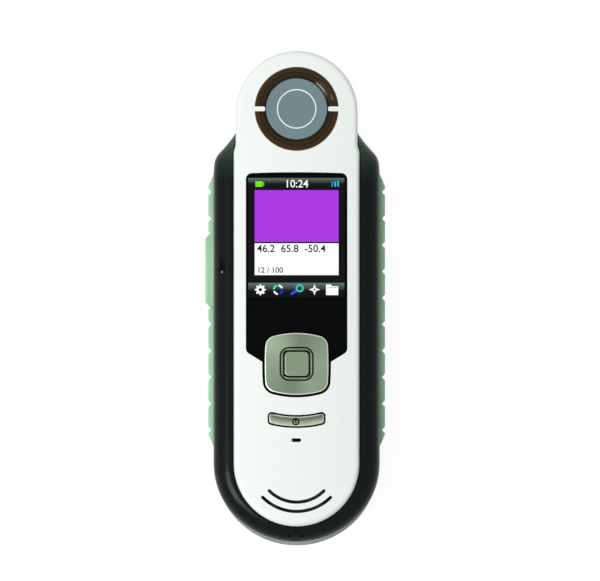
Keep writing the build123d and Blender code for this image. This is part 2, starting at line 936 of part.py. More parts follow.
with BuildPart() as target_disc:
    with BuildSketch(Plane.XY.offset(ring_seat)):
        with Locations((0, ring_y)):
            Circle(disc_radius)
    extrude(amount=ring_depth - disc_drop)
    fillet(target_disc.faces().sort_by(Axis.Z)[-1].edges(), radius=disc_edge)
save(target_disc.part, "target_disc")

# Display window, gasket and display
with BuildPart() as display_window:
    with BuildSketch(Plane.XY.offset(lens_seat)):
        add(lens_outline())
    extrude(amount=face_height + over - lens_seat)
    add(crowned_block(lens_drop), mode=Mode.INTERSECT)
save(display_window.part, "display_window")

with BuildPart() as display_gasket:
    with BuildSketch(Plane.XY.offset(bezel_base - gasket_thickness)):
        with Locations((0, active_y)):
            inner_width = active_width + 2 * window_margin
            inner_height = active_height + 2 * window_margin
            Rectangle(inner_width + 2 * gasket_width, inner_height + 2 * gasket_width)
            Rectangle(inner_width, inner_height, mode=Mode.SUBTRACT)
    extrude(amount=gasket_thickness)
save(display_gasket.part, "display_gasket")

with BuildPart() as display_module:
    with BuildSketch(Plane.XY.offset(front_board_top)):
        with Locations((0, module_y)):
            RectangleRounded(module_width, module_height, module_corner)
    extrude(amount=module_thickness)
save(display_module.part, "display_module")

# Front board with the key domes, the key mat and the microphone
dome_places = [(0, pad_y)]
dome_places += [(side * dome_pitch, pad_y) for side in (-1, 1)]
dome_places += [(0, pad_y + side * dome_pitch) for side in (-1, 1)]
power_middle_y = power_top_y - power_height / 2
dome_places += [(0, power_middle_y)]
mat_base = front_board_top + dome_height + seat_gap
mat_top = mat_base + mat_thickness
with BuildPart() as front_board:
    with BuildSketch(Plane.XY.offset(front_board_base)):
        with Locations((0, (front_board_top_y + front_board_tail_y) / 2)):
            RectangleRounded(2 * front_board_half, front_board_top_y - front_board_tail_y, module_corner)
    extrude(amount=front_board_thickness)
    for x, y in front_screws_at:
        with Locations((x, y, front_board_top)):
            Hole(board_screw_radius + screw_gap, depth=front_board_thickness)
save(front_board.part, "front_board")

with BuildPart() as key_domes:
    with BuildSketch(Plane.XY.offset(front_board_top)):
        with Locations(dome_places):
            Circle(dome_radius)
    extrude(amount=dome_height)
    chamfer(key_domes.faces().group_by(Axis.Z)[-1].edges(), length=dome_height / 2)
save(key_domes.part, "key_domes")

mat_head_y = pad_y + pad_half_y + pad_gap
mat_tail_y = power_middle_y - power_height
with BuildPart() as keypad_mat:
    with BuildSketch(Plane.XY.offset(mat_base)):
        with Locations((0, (mat_head_y + mat_tail_y) / 2)):
            RectangleRounded(mat_width, mat_head_y - mat_tail_y, module_corner)
    extrude(amount=mat_thickness)
save(keypad_mat.part, "keypad_mat")

with BuildPart() as microphone:
    with BuildSketch(Plane.XY.offset(front_board_top)):
        with Locations((0, mic_slot_y)):
            Circle(mic_radius)
    extrude(amount=face_height - cover_skin - mic_lift - front_board_top)
save(microphone.part, "microphone")

# Thumb pad on its carrier, with the trim ring and the select key in its well
carrier_base = mat_top + carrier_lift
carrier_top = carrier_base + carrier_thickness
rocker_base = carrier_top + rocker_lift
with BuildPart() as nav_carrier:
    with BuildSketch(Plane.XY.offset(carrier_base)):
        with Locations((0, pad_y)):
            RectangleRounded(2 * carrier_half, 2 * carrier_half, pad_well_corner)
            RectangleRounded(pad_well, pad_well, pad_well_corner, mode=Mode.SUBTRACT)
    extrude(amount=carrier_thickness)
save(nav_carrier.part, "nav_carrier")

with BuildPart() as nav_rocker:
    with BuildSketch(Plane.XY.offset(rocker_base)):
        add(pad_outline())
    extrude(amount=face_height + over - rocker_base)
    add(crowned_block(pad_drop), mode=Mode.INTERSECT)
    fillet(nav_rocker.faces().sort_by(Axis.Z)[-1].edges(), radius=pad_edge)
    with BuildSketch(Plane.XY.offset(rocker_base)):
        with Locations((0, pad_y)):
            RectangleRounded(pad_well, pad_well, pad_well_corner)
    extrude(amount=face_height + over - rocker_base, mode=Mode.SUBTRACT)
save(nav_rocker.part, "nav_rocker")

with BuildPart() as select_ring:
    with BuildSketch(Plane.XY.offset(mat_top + seat_gap)):
        with Locations((0, pad_y)):
            RectangleRounded(ring_trim_outer, ring_trim_outer, ring_trim_corner)
            RectangleRounded(ring_trim_inner, ring_trim_inner, ring_trim_corner / 2, mode=Mode.SUBTRACT)
    extrude(amount=face_height - trim_drop - mat_top - seat_gap)
    chamfer(select_ring.faces().sort_by(Axis.Z)[-1].edges(), length=trim_edge)
save(select_ring.part, "select_ring")

with BuildPart() as select_key:
    with BuildSketch(Plane.XY.offset(mat_top + select_travel + press_gap)):
        with Locations((0, pad_y)):
            RectangleRounded(select_size, select_size, select_corner)
    extrude(amount=face_height - select_drop - mat_top - select_travel - press_gap)
    fillet(select_key.faces().sort_by(Axis.Z)[-1].edges(), radius=select_edge)
save(select_key.part, "select_key")

# Power key: bent bar with a scoop along it
with BuildPart() as power_key:
    with BuildSketch(Plane.XY.offset(mat_top + power_travel + press_gap)):
        add(power_outline(power_gap))
    extrude(amount=face_height - power_drop - mat_top - power_travel - press_gap)
    chamfer(power_key.faces().sort_by(Axis.Z)[-1].edges(), length=power_edge)
    scoop_height = face_height - power_drop - power_scoop_depth + power_scoop_radius
    with Locations((0, power_top_y + power_arc, scoop_height)):
        Torus(power_arc + power_height / 2, power_scoop_radius, mode=Mode.SUBTRACT)
save(power_key.part, "power_key")

# Speaker in its collar
with BuildPart() as speaker:
    with BuildSketch(Plane.XY.offset(face_at(speaker_radius) - cover_skin - seat_gap)):
        with Locations((0, tail_y - speaker_drop)):
            Circle(speaker_radius)
    extrude(amount=-speaker_thickness)
    chamfer(speaker.faces().sort_by(Axis.Z)[0].edges(), length=speaker_edge)
save(speaker.part, "speaker")

# Main board with a tongue for the socket and a tab for the side switch
with BuildPart() as main_board:
    with BuildSketch(Plane.XY.offset(main_board_base)):
        with Locations((0, (main_board_top_y + main_board_tail_y) / 2)):
            Rectangle(2 * main_board_half, main_board_top_y - main_board_tail_y)
        with Locations((0, main_board_tail_y)):
            Rectangle(2 * tongue_half, tongue_length, align=(Align.CENTER, Align.MAX))
        with Locations((-main_board_half, side_key_y)):
            Rectangle(
                side_switch_reach - main_board_half,
                side_switch_length + 2 * side_tab_margin,
                align=(Align.MAX, Align.CENTER),
            )
    extrude(amount=main_board_thickness)
    for x, y in main_screws_at:
        with Locations((x, y, main_board_top)):
            Hole(board_screw_radius + screw_gap, depth=main_board_thickness)
save(main_board.part, "main_board")

with BuildPart() as board_chips:
    with BuildSketch(Plane.XY.offset(main_board_top)):
        for x, y, width, length in chip_layout:
            with Locations((x, y)):
                Rectangle(width, length)
    extrude(amount=chip_height)
save(board_chips.part, "board_chips")

with BuildPart() as shield_can:
    with Locations((0, shield_y, main_board_top)):
        Box(shield_width, shield_length, shield_height, align=(Align.CENTER, Align.CENTER, Align.MIN))
        Box(
            shield_width - 2 * shield_sheet,
            shield_length - 2 * shield_sheet,
            shield_height - shield_sheet,
            align=(Align.CENTER, Align.CENTER, Align.MIN),
            mode=Mode.SUBTRACT,
        )
save(shield_can.part, "shield_can")

with BuildPart() as side_switch:
    block(
        (-side_switch_reach, side_switch_thickness - side_switch_reach),
        (side_key_y - side_switch_length / 2, side_key_y + side_switch_length / 2),
        (main_board_top, key_stem_base + key_stem_height),
    )
save(side_switch.part, "side_switch")

# Socket in the tail's end face: folded shell with a contact tongue
usb_mouth_y = tail_y - frame_tail_rise + usb_inset
with BuildPart() as usb_connector:
    block(
        (-usb_width / 2, usb_width / 2),
        (usb_mouth_y, usb_mouth_y + usb_length),
        (main_board_top, main_board_top + usb_height),
    )
    pocket(
        (usb_sheet - usb_width / 2, usb_width / 2 - usb_sheet),
        (usb_mouth_y - over, usb_mouth_y + usb_depth),
        (main_board_top + usb_sheet, main_board_top + usb_height - usb_sheet),
    )
    block(
        (-usb_tongue_width / 2, usb_tongue_width / 2),
        (usb_mouth_y + usb_tongue_inset, usb_mouth_y + usb_depth + tiny),
        (
            main_board_top + (usb_height - usb_tongue_thickness) / 2,
            main_board_top + (usb_height + usb_tongue_thickness) / 2,
        ),
    )
save(usb_connector.part, "usb_connector")

# Battery, its contacts and its door
with BuildPart() as battery_pack:
    with BuildSketch(Plane.XY.offset(battery_base)):
        with Locations((0, battery_tail_y + battery_length / 2)):
            RectangleRounded(battery_width, battery_length, battery_edge)
    extrude(amount=battery_height)
    fillet(battery_pack.edges().filter_by(GeomType.LINE).filter_by(Plane.XY), radius=battery_edge / 2)
save(battery_pack.part, "battery_pack")

with BuildPart() as battery_contacts:
    for i in (-1, 0, 1):
        with Locations((i * contact_pitch, battery_head_y + seat_gap, battery_base + contact_height)):
            Box(
                contact_width,
                bay_head_y - battery_head_y - seat_gap,
                contact_height,
                align=(Align.CENTER, Align.MIN, Align.CENTER),
            )
save(battery_contacts.part, "battery_contacts")

with BuildPart() as battery_door:
    block(
        (door_gap - door_half, door_half - door_gap),
        (door_tail_y + door_gap, door_head_y - door_gap),
        (foot_height, door_top),
    )
    fillet(battery_door.faces().sort_by(Axis.Z)[0].edges(), radius=door_round)
    for side in (-1, 1):
        middle = side * door_tab_spacing / 2
        block(
            (middle - door_tab_width / 2, middle + door_tab_width / 2),
            (door_head_y - door_gap - tiny, door_head_y - door_gap + door_tab_length),
            (tab_base, door_top),
        )
    with Locations((0, door_tail_y + finger_inset, foot_height)):
        Cylinder(finger_radius, 2 * finger_depth, mode=Mode.SUBTRACT)
save(battery_door.part, "battery_door")

# Optics: glass over the aperture, light chamber, light ring, lens and sensor
optics_base = channel_top + channel_roof + seat_gap
optics_top = optics_base + optics_height
led_board_base = optics_base + led_board_lift
lugs_at = [(-optics_lug, head_y), (optics_lug, head_y)]
with BuildPart() as optics_housing:
    with BuildSketch(Plane.XY.offset(optics_base)):
        with Locations((0, head_y)):
            Circle(optics_radius)
    extrude(amount=optics_height)
    with BuildSketch(Plane.XY.offset(led_board_base)):
        with Locations(lugs_at):
            Circle(optics_lug_radius)
    extrude(amount=optics_top - led_board_base)
    with Locations((0, head_y, optics_top)):
        Hole(optics_radius - optics_wall, depth=optics_top - led_board_base)
        Hole(optics_radius - optics_wall - led_ledge, depth=optics_height - optics_base_wall)
        Hole(aperture_radius, depth=optics_height)
    with BuildSketch(Plane.XY.offset(optics_base)):
        with Locations((0, head_y)):
            Circle(glass_radius + seat_gap)
    extrude(amount=glass_thickness + seat_gap, mode=Mode.SUBTRACT)
    for x, y in lugs_at:
        with Locations((x, y, optics_top)):
            Hole(
                board_screw_radius + screw_gap,
                depth=board_screw_length - sensor_board_thickness + screw_gap,
            )
save(optics_housing.part, "optics_housing")

with BuildPart() as aperture_glass:
    with BuildSketch(Plane.XY.offset(optics_base)):
        with Locations((0, head_y)):
            Circle(glass_radius)
    extrude(amount=glass_thickness)
save(aperture_glass.part, "aperture_glass")

with BuildPart() as led_ring_board:
    with BuildSketch(Plane.XY.offset(led_board_base)):
        with Locations((0, head_y)):
            Circle(optics_radius - optics_wall - seat_gap)
            Circle(led_board_hole, mode=Mode.SUBTRACT)
    extrude(amount=led_board_thickness)
save(led_ring_board.part, "led_ring_board")

with BuildPart() as measuring_leds:
    with Locations((0, head_y, led_board_base)):
        with PolarLocations(led_circle, led_count):
            Box(led_size, led_size, led_height, align=(Align.CENTER, Align.CENTER, Align.MAX))
save(measuring_leds.part, "measuring_leds")

with BuildPart() as lens_barrel:
    with BuildSketch(Plane.XY.offset(optics_top)):
        with Locations((0, head_y)):
            Circle(barrel_radius)
            Circle(barrel_bore, mode=Mode.SUBTRACT)
    extrude(amount=-barrel_length)
save(lens_barrel.part, "lens_barrel")

with BuildPart() as camera_lens:
    rim = barrel_bore - seat_gap
    middle = optics_top - barrel_length + lens_rim + lens_bulge
    with BuildSketch(Plane.XZ.offset(-head_y)):
        with BuildLine():
            lower = ThreePointArc(
                (-rim, middle - lens_rim), (0, middle - lens_rim - lens_bulge), (rim, middle - lens_rim)
            )
            right = Line(lower @ 1, (rim, middle + lens_rim))
            upper = ThreePointArc(
                right @ 1, (0, middle + lens_rim + lens_bulge), (-rim, middle + lens_rim)
            )
            Line(upper @ 1, lower @ 0)
        make_face()
        split(bisect_by=Plane.YZ)
    revolve(axis=Axis((0, head_y, 0), (0, 0, 1)))
save(camera_lens.part, "camera_lens")

with BuildPart() as sensor_board:
    with BuildSketch(Plane.XY.offset(optics_top)):
        with Locations((0, head_y)):
            Circle(optics_radius)
        with Locations(lugs_at):
            Circle(optics_lug_radius)
    extrude(amount=sensor_board_thickness)
    for x, y in lugs_at:
        with Locations((x, y, optics_top + sensor_board_thickness)):
            Hole(board_screw_radius + screw_gap, depth=sensor_board_thickness)
save(sensor_board.part, "sensor_board")

with BuildPart() as image_sensor:
    with Locations((0, head_y, optics_top)):
        Box(sensor_size, sensor_size, sensor_height, align=(Align.CENTER, Align.CENTER, Align.MAX))
save(image_sensor.part, "image_sensor")

# Calibration slide with tongues in the channel's grooves, and its white tile
slide_base = foot_height + slide_inset
slide_top = channel_top - slide_gap
slide_ends = (head_y - slide_length / 2, head_y + slide_length / 2)
with BuildPart() as calibration_slide:
    block((slide_gap - channel_half, channel_half - slide_gap), slide_ends, (slide_base, slide_top))
    tongue = channel_half + groove_depth - slide_gap
    block(
        (-tongue, tongue),
        slide_ends,
        (groove_base + slide_gap, groove_base + groove_height - slide_gap),
    )
    for i in range(rib_count):
        rib_y = slide_ends[0] + rib_start + i * rib_pitch
        block(
            (-rib_length / 2, rib_length / 2),
            (rib_y - rib_width / 2, rib_y + rib_width / 2),
            (slide_base - rib_height, slide_base + tiny),
        )
    with Locations((0, head_y, slide_top)):
        Hole(tile_radius + seat_gap, depth=tile_thickness + seat_gap)
save(calibration_slide.part, "calibration_slide")

with BuildPart() as white_reference:
    with BuildSketch(Plane.XY.offset(slide_top - tile_thickness - seat_gap)):
        with Locations((0, head_y)):
            Circle(tile_radius)
    extrude(amount=tile_thickness)
save(white_reference.part, "white_reference")


def screws(places, seat, length, radius, head_radius, head_height, up):
    """Socket screws at the places; the head's inner face lies at the seat."""
    direction = 1 if up else -1
    with BuildPart() as group:
        with BuildSketch(Plane.XY.offset(seat)):
            with Locations(places):
                Circle(radius)
        extrude(amount=direction * length)
        with BuildSketch(Plane.XY.offset(seat)):
            with Locations(places):
                Circle(head_radius)
        extrude(amount=-direction * head_height)
        with BuildSketch(Plane.XY.offset(seat - direction * head_height)):
            with Locations(places):
                RegularPolygon(head_radius * socket_share, side_count=6)
        extrude(amount=direction * head_height / 2, mode=Mode.SUBTRACT)
    return group.part


case_screws = screws(
    case_screws_at + head_screws_at,
    case_seat,
    case_screw_reach - case_seat,
    case_screw_radius,
    case_head_radius,
    case_head_height,
    up=True,
)
save(case_screws, "case_screws")

front_board_screws = screws(
    front_screws_at,
    front_board_base,
    board_screw_length,
    board_screw_radius,
    board_head_radius,
    board_head_height,
    up=True,
)
save(front_board_screws, "front_board_screws")

main_board_screws = screws(
    main_screws_at,
    main_board_top,
    board_screw_length,
    board_screw_radius,
    board_head_radius,
    board_head_height,
    up=False,
)
save(main_board_screws, "main_board_screws")

optics_screws = screws(
    lugs_at,
    optics_top + sensor_board_thickness,
    board_screw_length,
    board_screw_radius,
    board_head_radius,
    board_head_height,
    up=False,
)
save(optics_screws, "optics_screws")

# Flat cables between the boards
flex_half = flex_thickness / 2
sensor_top = optics_top + sensor_board_thickness
sensor_edge_y = head_y - optics_radius


def flat_cable(points):
    """Flat cable that follows the points, given as Y and Z, across the middle."""
    path = FilletPolyline(points, radius=flex_bend, mode=Mode.PRIVATE)
    with BuildPart() as cable:
        with BuildSketch(Plane.YZ):
            SlotArc(path, flex_thickness)
        extrude(amount=flex_width / 2, both=True)
    return cable.part


sensor_flex = flat_cable(
    [
        (sensor_edge_y + flex_lap, sensor_top + flex_half),
        (sensor_edge_y - flex_hang, sensor_top + flex_half),
        (sensor_edge_y - flex_hang, main_board_top + flex_half),
        (main_board_top_y - flex_lap, main_board_top + flex_half),
    ]
)
save(sensor_flex, "sensor_flex")

front_flex = flat_cable(
    [
        (front_flex_y + flex_lap, front_board_base - flex_half),
        (front_flex_y - flex_lap, front_board_base - flex_half),
        (front_flex_y - flex_lap, main_board_top + flex_half),
        (front_flex_y + flex_lap, main_board_top + flex_half),
    ]
)
save(front_flex, "front_flex")
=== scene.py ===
import json
import math

import bmesh
import bpy
from mathutils import Matrix, Vector
from mathutils.bvhtree import BVHTree


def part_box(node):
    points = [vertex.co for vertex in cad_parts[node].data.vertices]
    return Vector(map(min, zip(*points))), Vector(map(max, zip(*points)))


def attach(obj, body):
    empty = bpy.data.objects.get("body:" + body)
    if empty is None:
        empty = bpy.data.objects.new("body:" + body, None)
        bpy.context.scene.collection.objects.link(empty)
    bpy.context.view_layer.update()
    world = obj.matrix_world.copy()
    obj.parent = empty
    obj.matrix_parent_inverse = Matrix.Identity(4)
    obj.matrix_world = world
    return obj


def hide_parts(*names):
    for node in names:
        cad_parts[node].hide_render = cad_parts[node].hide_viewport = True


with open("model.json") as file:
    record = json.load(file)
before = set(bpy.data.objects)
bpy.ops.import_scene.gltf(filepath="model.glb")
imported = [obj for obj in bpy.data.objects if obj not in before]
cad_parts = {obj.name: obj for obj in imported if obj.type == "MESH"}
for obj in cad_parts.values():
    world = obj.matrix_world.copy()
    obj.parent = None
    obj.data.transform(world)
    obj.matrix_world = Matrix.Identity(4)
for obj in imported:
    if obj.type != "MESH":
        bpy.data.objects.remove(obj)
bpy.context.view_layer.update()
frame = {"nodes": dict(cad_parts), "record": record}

# Handheld instrument that matches colours. Lengths are in metres, in the frame of the CAD part.
MM = 0.001

# The picture: its size and the middle of the device in pixels, and the size of a pixel on the face.
FRAME_WIDTH = 600
FRAME_HEIGHT = 581
PHOTO_CENTRE = (296.6, 298.5)
PIXEL = MM / 3

# Places on the CAD part. The face is crowned across, with the radius CROWN. Angles are in degrees.
FACE_TOP = 32.0 * MM
WINDOW_TOP = FACE_TOP - 0.05 * MM
CROWN = 150.0 * MM
HEAD_Y = 62.17 * MM
RING_Y = 63.22 * MM
PAD_CENTRE = (0, -21.8 * MM, 0)
TAIL_Y = -54.97 * MM
SHOULDER_START = 39.5 * MM
SHOULDER_END = 52.0 * MM
RING_INNER = 10.2 * MM
RING_OUTER = 14.0 * MM
SPEAKER_RADII = (12.9 * MM, 16.0 * MM)
SPEAKER_HALF = 0.45 * MM
SPEAKER_START = 225
SPEAKER_END = 315
POWER_ARC_Y = -6.2 * MM
POWER_RADIUS = 34.8 * MM
POWER_HALF = 1.9 * MM

# Depths of the keys' upper edges below the face.
PAD_DROP = 0.1 * MM
SELECT_DROP = 0.3 * MM
SELECT_RING_DROP = 0.35 * MM

# Printed layers: the step from one to the next, and the thickness of one.
LAYER = 0.011 * MM
LAYER_THICKNESS = 0.010 * MM


def place(x, y):
    """A point of the face, in metres, from its pixel in the picture."""
    return (x - PHOTO_CENTRE[0]) * PIXEL, (PHOTO_CENTRE[1] - y) * PIXEL


def crowned(top):
    """Height of a crowned face over a point, for a face whose middle line lies at a height."""
    def height(x, _):
        return top - CROWN + math.sqrt(CROWN ** 2 - x ** 2)

    return height


window_at = crowned(WINDOW_TOP)
cover_at = crowned(FACE_TOP)


def surface_of(node):
    """Height of the upper surface of a CAD node over a point."""
    tree = BVHTree.FromObject(frame["nodes"][node], bpy.context.evaluated_depsgraph_get())

    def height(x, y):
        return tree.ray_cast(Vector((x, y, 2 * FACE_TOP)), Vector((0, 0, -1)))[0].z

    return height


def linear(r, g, b):
    """An sRGB colour of 0 to 255 as the linear colour that a shader takes."""
    out = [((c / 255 + 0.055) / 1.055) ** 2.4 if c > 10 else c / 255 / 12.92 for c in (r, g, b)]
    return (*out, 1.0)


def scaled(colour, amount):
    """A colour made darker or lighter, at most white."""
    return tuple(min(1.0, c * amount) for c in colour[:3]) + (1.0,)


# Materials

# The values of a noise texture that its darkest and lightest shade stand for.
NOISE_LOW = 0.3
NOISE_HIGH = 0.7

# Places of A, B and the result among the sockets of a mix node.
MIX_SOCKETS = {"FLOAT": (2, 3, 0), "RGBA": (6, 7, 2)}

# Stretch of the noise that makes brush lines along an axis.
BRUSH_STRETCH = {"X": (1, 60, 1), "Y": (60, 1, 1)}

# Scales of the noise that makes straight and ring-shaped brush lines.
STRAIGHT_LINES = 220
RING_LINES = 9000


class Paint:
    """A Principled material whose colour, gloss and bump come from procedural textures."""

    def __init__(self, name):
        self.material = bpy.data.materials.new(name)
        self.material.use_nodes = True
        self.tree = self.material.node_tree
        self.shader = self.tree.nodes["Principled BSDF"]
        self.where = self.node("ShaderNodeTexCoord").outputs["Object"]

    def node(self, kind, **values):
        made = self.tree.nodes.new(kind)
        for key, value in values.items():
            setattr(made, key, value)
        return made

    def link(self, source, socket):
        self.tree.links.new(source, socket)

    def feed(self, socket, source):
        """Leads a value into one of the shader's own sockets."""
        self.link(source, self.shader.inputs[socket])

    def fed(self, socket):
        """The value that is led into one of the shader's sockets so far."""
        return self.shader.inputs[socket].links[0].from_socket

    def set(self, **values):
        """Constants on the shader's own sockets."""
        for key, value in values.items():
            self.shader.inputs[key.replace("_", " ")].default_value = value

    def parts(self):
        """X, Y and Z of the place on the object."""
        split = self.node("ShaderNodeSeparateXYZ")
        self.link(self.where, split.inputs["Vector"])
        return split.outputs

    def maths(self, operation, *values):
        """Arithmetic on plain numbers and on values of other nodes."""
        made = self.node("ShaderNodeMath", operation=operation)
        for socket, value in zip(made.inputs, values):
            if isinstance(value, (int, float)):
                socket.default_value = value
            else:
                self.link(value, socket)
        return made.outputs[0]

    def distance(self, centre):
        """Distance from the upright line through a centre."""
        offset = self.node("ShaderNodeVectorMath", operation="SUBTRACT")
        offset.inputs[1].default_value = centre
        self.link(self.where, offset.inputs[0])
        flat = self.node("ShaderNodeVectorMath", operation="MULTIPLY")
        flat.inputs[1].default_value = (1, 1, 0)
        self.link(offset.outputs[0], flat.inputs[0])
        length = self.node("ShaderNodeVectorMath", operation="LENGTH")
        self.link(flat.outputs[0], length.inputs[0])
        return length.outputs["Value"]

    def noise(self, scale, detail, stretch=(1, 1, 1)):
        mapping = self.node("ShaderNodeMapping")
        mapping.inputs["Scale"].default_value = stretch
        self.link(self.where, mapping.inputs["Vector"])
        made = self.node("ShaderNodeTexNoise")
        made.inputs["Scale"].default_value = scale
        made.inputs["Detail"].default_value = detail
        self.link(mapping.outputs["Vector"], made.inputs["Vector"])
        return made.outputs["Fac"]

    def span(self, value, low, high, start=NOISE_LOW, end=NOISE_HIGH):
        """A value that runs from low to high while another runs from start to end."""
        made = self.node("ShaderNodeMapRange")
        made.inputs["From Min"].default_value = start
        made.inputs["From Max"].default_value = end
        made.inputs["To Min"].default_value = low
        made.inputs["To Max"].default_value = high
        self.link(value, made.inputs["Value"])
        return made.outputs["Result"]

    def ramp(self, value, *stops):
        """A colour from stops, each a position and its colour."""
        made = self.node("ShaderNodeValToRGB")
        band = made.color_ramp
        while len(band.elements) < len(stops):
            band.elements.new(0.5)
        for element, (at, colour) in zip(band.elements, stops):
            element.position = at
            element.color = colour
        self.link(value, made.inputs["Fac"])
        return made.outputs["Color"]

    def mottled(self, texture, colour, vary):
        """A colour that a texture makes darker and lighter by a share."""
        darker, lighter = scaled(colour, 1 - vary), scaled(colour, 1 + vary)
        return self.ramp(texture, (NOISE_LOW, darker), (NOISE_HIGH, lighter))

    def times(self, colour, amount):
        """A colour scaled by the value of another node."""
        made = self.node("ShaderNodeVectorMath", operation="SCALE")
        self.link(colour, made.inputs[0])
        self.link(amount, made.inputs["Scale"])
        return made.outputs[0]

    def mixed(self, kind, factor, first, second):
        """The first value where the factor is nought, and the second, a constant, where it is one."""
        a, b, result = MIX_SOCKETS[kind]
        mix = self.node("ShaderNodeMix", data_type=kind)
        self.link(factor, mix.inputs[0])
        self.link(first, mix.inputs[a])
        mix.inputs[b].default_value = second
        return mix.outputs[result]

    def finish(self, texture, smooth, rough, depth):
        """Roughness between two values and bump of a depth in mm, both from one texture."""
        self.feed("Roughness", self.span(texture, smooth, rough))
        bump = self.node("ShaderNodeBump")
        bump.inputs["Strength"].default_value = 1.0
        bump.inputs["Distance"].default_value = depth * MM
        self.link(texture, bump.inputs["Height"])
        self.feed("Normal", bump.outputs["Normal"])


def moulded(name, colour, rough, grain=2600, depth=0.004, vary=0.05, patch=60, **extra):
    """Moulded plastic or rubber: slow colour drift, uneven gloss and a fine grain."""
    paint = Paint(name)
    paint.feed("Base Color", paint.mottled(paint.noise(patch, 4.0), colour, vary))
    paint.finish(paint.noise(grain, 2.0), rough - 0.05, rough + 0.05, depth)
    paint.set(**extra)
    return paint


def brushed(name, colour, rough, direction="Y", centre=None, anisotropic=0.0, vary=0.12, depth=0.003):
    """Metal with fine brush lines: straight ones along an axis, or rings round a centre."""
    paint = Paint(name)
    if centre:
        rings = paint.node("ShaderNodeTexNoise", noise_dimensions="1D")
        rings.inputs["Scale"].default_value = RING_LINES
        rings.inputs["Detail"].default_value = 3.0
        paint.link(paint.distance(centre), rings.inputs["W"])
        streak = rings.outputs["Fac"]
    else:
        streak = paint.noise(STRAIGHT_LINES, 4.0, BRUSH_STRETCH[direction])
    paint.feed("Base Color", paint.mottled(streak, colour, vary))
    paint.finish(streak, rough - 0.06, rough + 0.06, depth)
    paint.set(Metallic=1.0)
    if anisotropic:
        paint.set(Anisotropic=anisotropic)
        tangent = paint.node("ShaderNodeTangent", direction_type="RADIAL", axis="Z")
        paint.feed("Tangent", tangent.outputs["Tangent"])
    return paint


def lit(name, colour, other=None, low=0.0, high=1.0):
    """A lit part of the screen under gloss. With another colour it fades from one to the other along Y."""
    paint = Paint(name)
    _, y, _ = paint.parts()
    along = paint.span(y, 0, 1, low, high)
    if other:
        shades = paint.ramp(along, (0.0, colour), (0.45, scaled(colour, 1.6)), (1.0, other))
    else:
        shades = paint.ramp(along, (0.0, colour), (1.0, scaled(colour, 0.97)))
    paint.feed("Emission Color", shades)
    paint.set(Emission_Strength=1.0, Base_Color=(0.003, 0.003, 0.003, 1))
    paint.set(Roughness=0.10, Specular_IOR_Level=0.03)
    return paint


WHITE = linear(238, 244, 240)
# Painted shade on the inner walls of the cover's openings.
COVER_INSIDE_SHADE = linear(26, 20, 15)
CHARCOAL = linear(9, 12, 12)
# Painted light: the lit grey green of the frame's shoulders.
SHOULDER_LIT = linear(60, 80, 66)
GREY_GREEN = linear(150, 170, 156)
GRIP = linear(168, 211, 174)
NICKEL = linear(130, 146, 124)
# Paler polished metal, partly a painted highlight on the keys' edges.
POLISHED_HIGHLIGHT = linear(172, 182, 162)

# The cover is painted dark, as shade in its openings, within this distance of its spine and below this skin.
COVER_SHADE_REACH = 18.6 * MM
COVER_SKIN = 0.18 * MM

# Painted reflection on the pad's rings: their light above and below their centre, and what left and right add
# to it.
PAD_LEAST_LIGHT = 0.80
PAD_SIDE_LIGHT = 0.42
PAD_CENTRE_SOFTNESS = 0.5 * MM

# Depths below the upper edge of a key between which its brushed field turns into its polished edge, which is
# painted paler as a highlight.
EDGE_START = 0.02 * MM
EDGE_END = 0.06 * MM
POLISHED_ROUGHNESS = 0.10


def cover_paint():
    """White gloss outside. Inside, below the skin, the shell is painted dark as shade in the openings."""
    paint = Paint("cover_white")
    x, y, z = paint.parts()
    spine = paint.maths("MINIMUM", paint.maths("MAXIMUM", y, TAIL_Y), HEAD_Y)
    aside = paint.maths("SUBTRACT", y, spine)
    square = paint.maths("MULTIPLY", x, x)
    reach = paint.maths("SQRT", paint.maths("ADD", square, paint.maths("MULTIPLY", aside, aside)))
    within = paint.maths("LESS_THAN", reach, COVER_SHADE_REACH)
    skin = paint.maths("SUBTRACT", FACE_TOP - COVER_SKIN, paint.maths("DIVIDE", square, 2 * CROWN))
    inside = paint.maths("MULTIPLY", within, paint.maths("LESS_THAN", z, skin))
    shades = paint.ramp(paint.noise(40, 4.0), (NOISE_LOW, scaled(WHITE, 0.985)), (NOISE_HIGH, WHITE))
    # Painted shade: below the skin the walls of the openings turn dark.
    paint.feed("Base Color", paint.mixed("RGBA", inside, shades, COVER_INSIDE_SHADE))
    paint.finish(paint.noise(1400, 2.0), 0.26, 0.36, 0.003)
    paint.set(Coat_Weight=0.2, Coat_Roughness=0.1)
    return paint


def frame_paint():
    """Charcoal semi-gloss with painted light: it turns a lit grey green towards the shoulders at the neck."""
    paint = Paint("frame_charcoal")
    _, y, _ = paint.parts()
    # Painted light: the frame turns lighter towards the shoulders at the neck.
    along = paint.span(y, 0, 1, SHOULDER_START, SHOULDER_END)
    shades = paint.ramp(along, (0.0, CHARCOAL), (0.5, scaled(SHOULDER_LIT, 0.34)), (1.0, SHOULDER_LIT))
    drift = paint.span(paint.noise(60, 4.0), 0.86, 1.14)
    paint.feed("Base Color", paint.times(shades, drift))
    paint.finish(paint.noise(3200, 2.0), 0.17, 0.25, 0.003)
    paint.set(Specular_IOR_Level=0.12, Specular_Tint=(0.76, 1.0, 0.98, 1))
    return paint


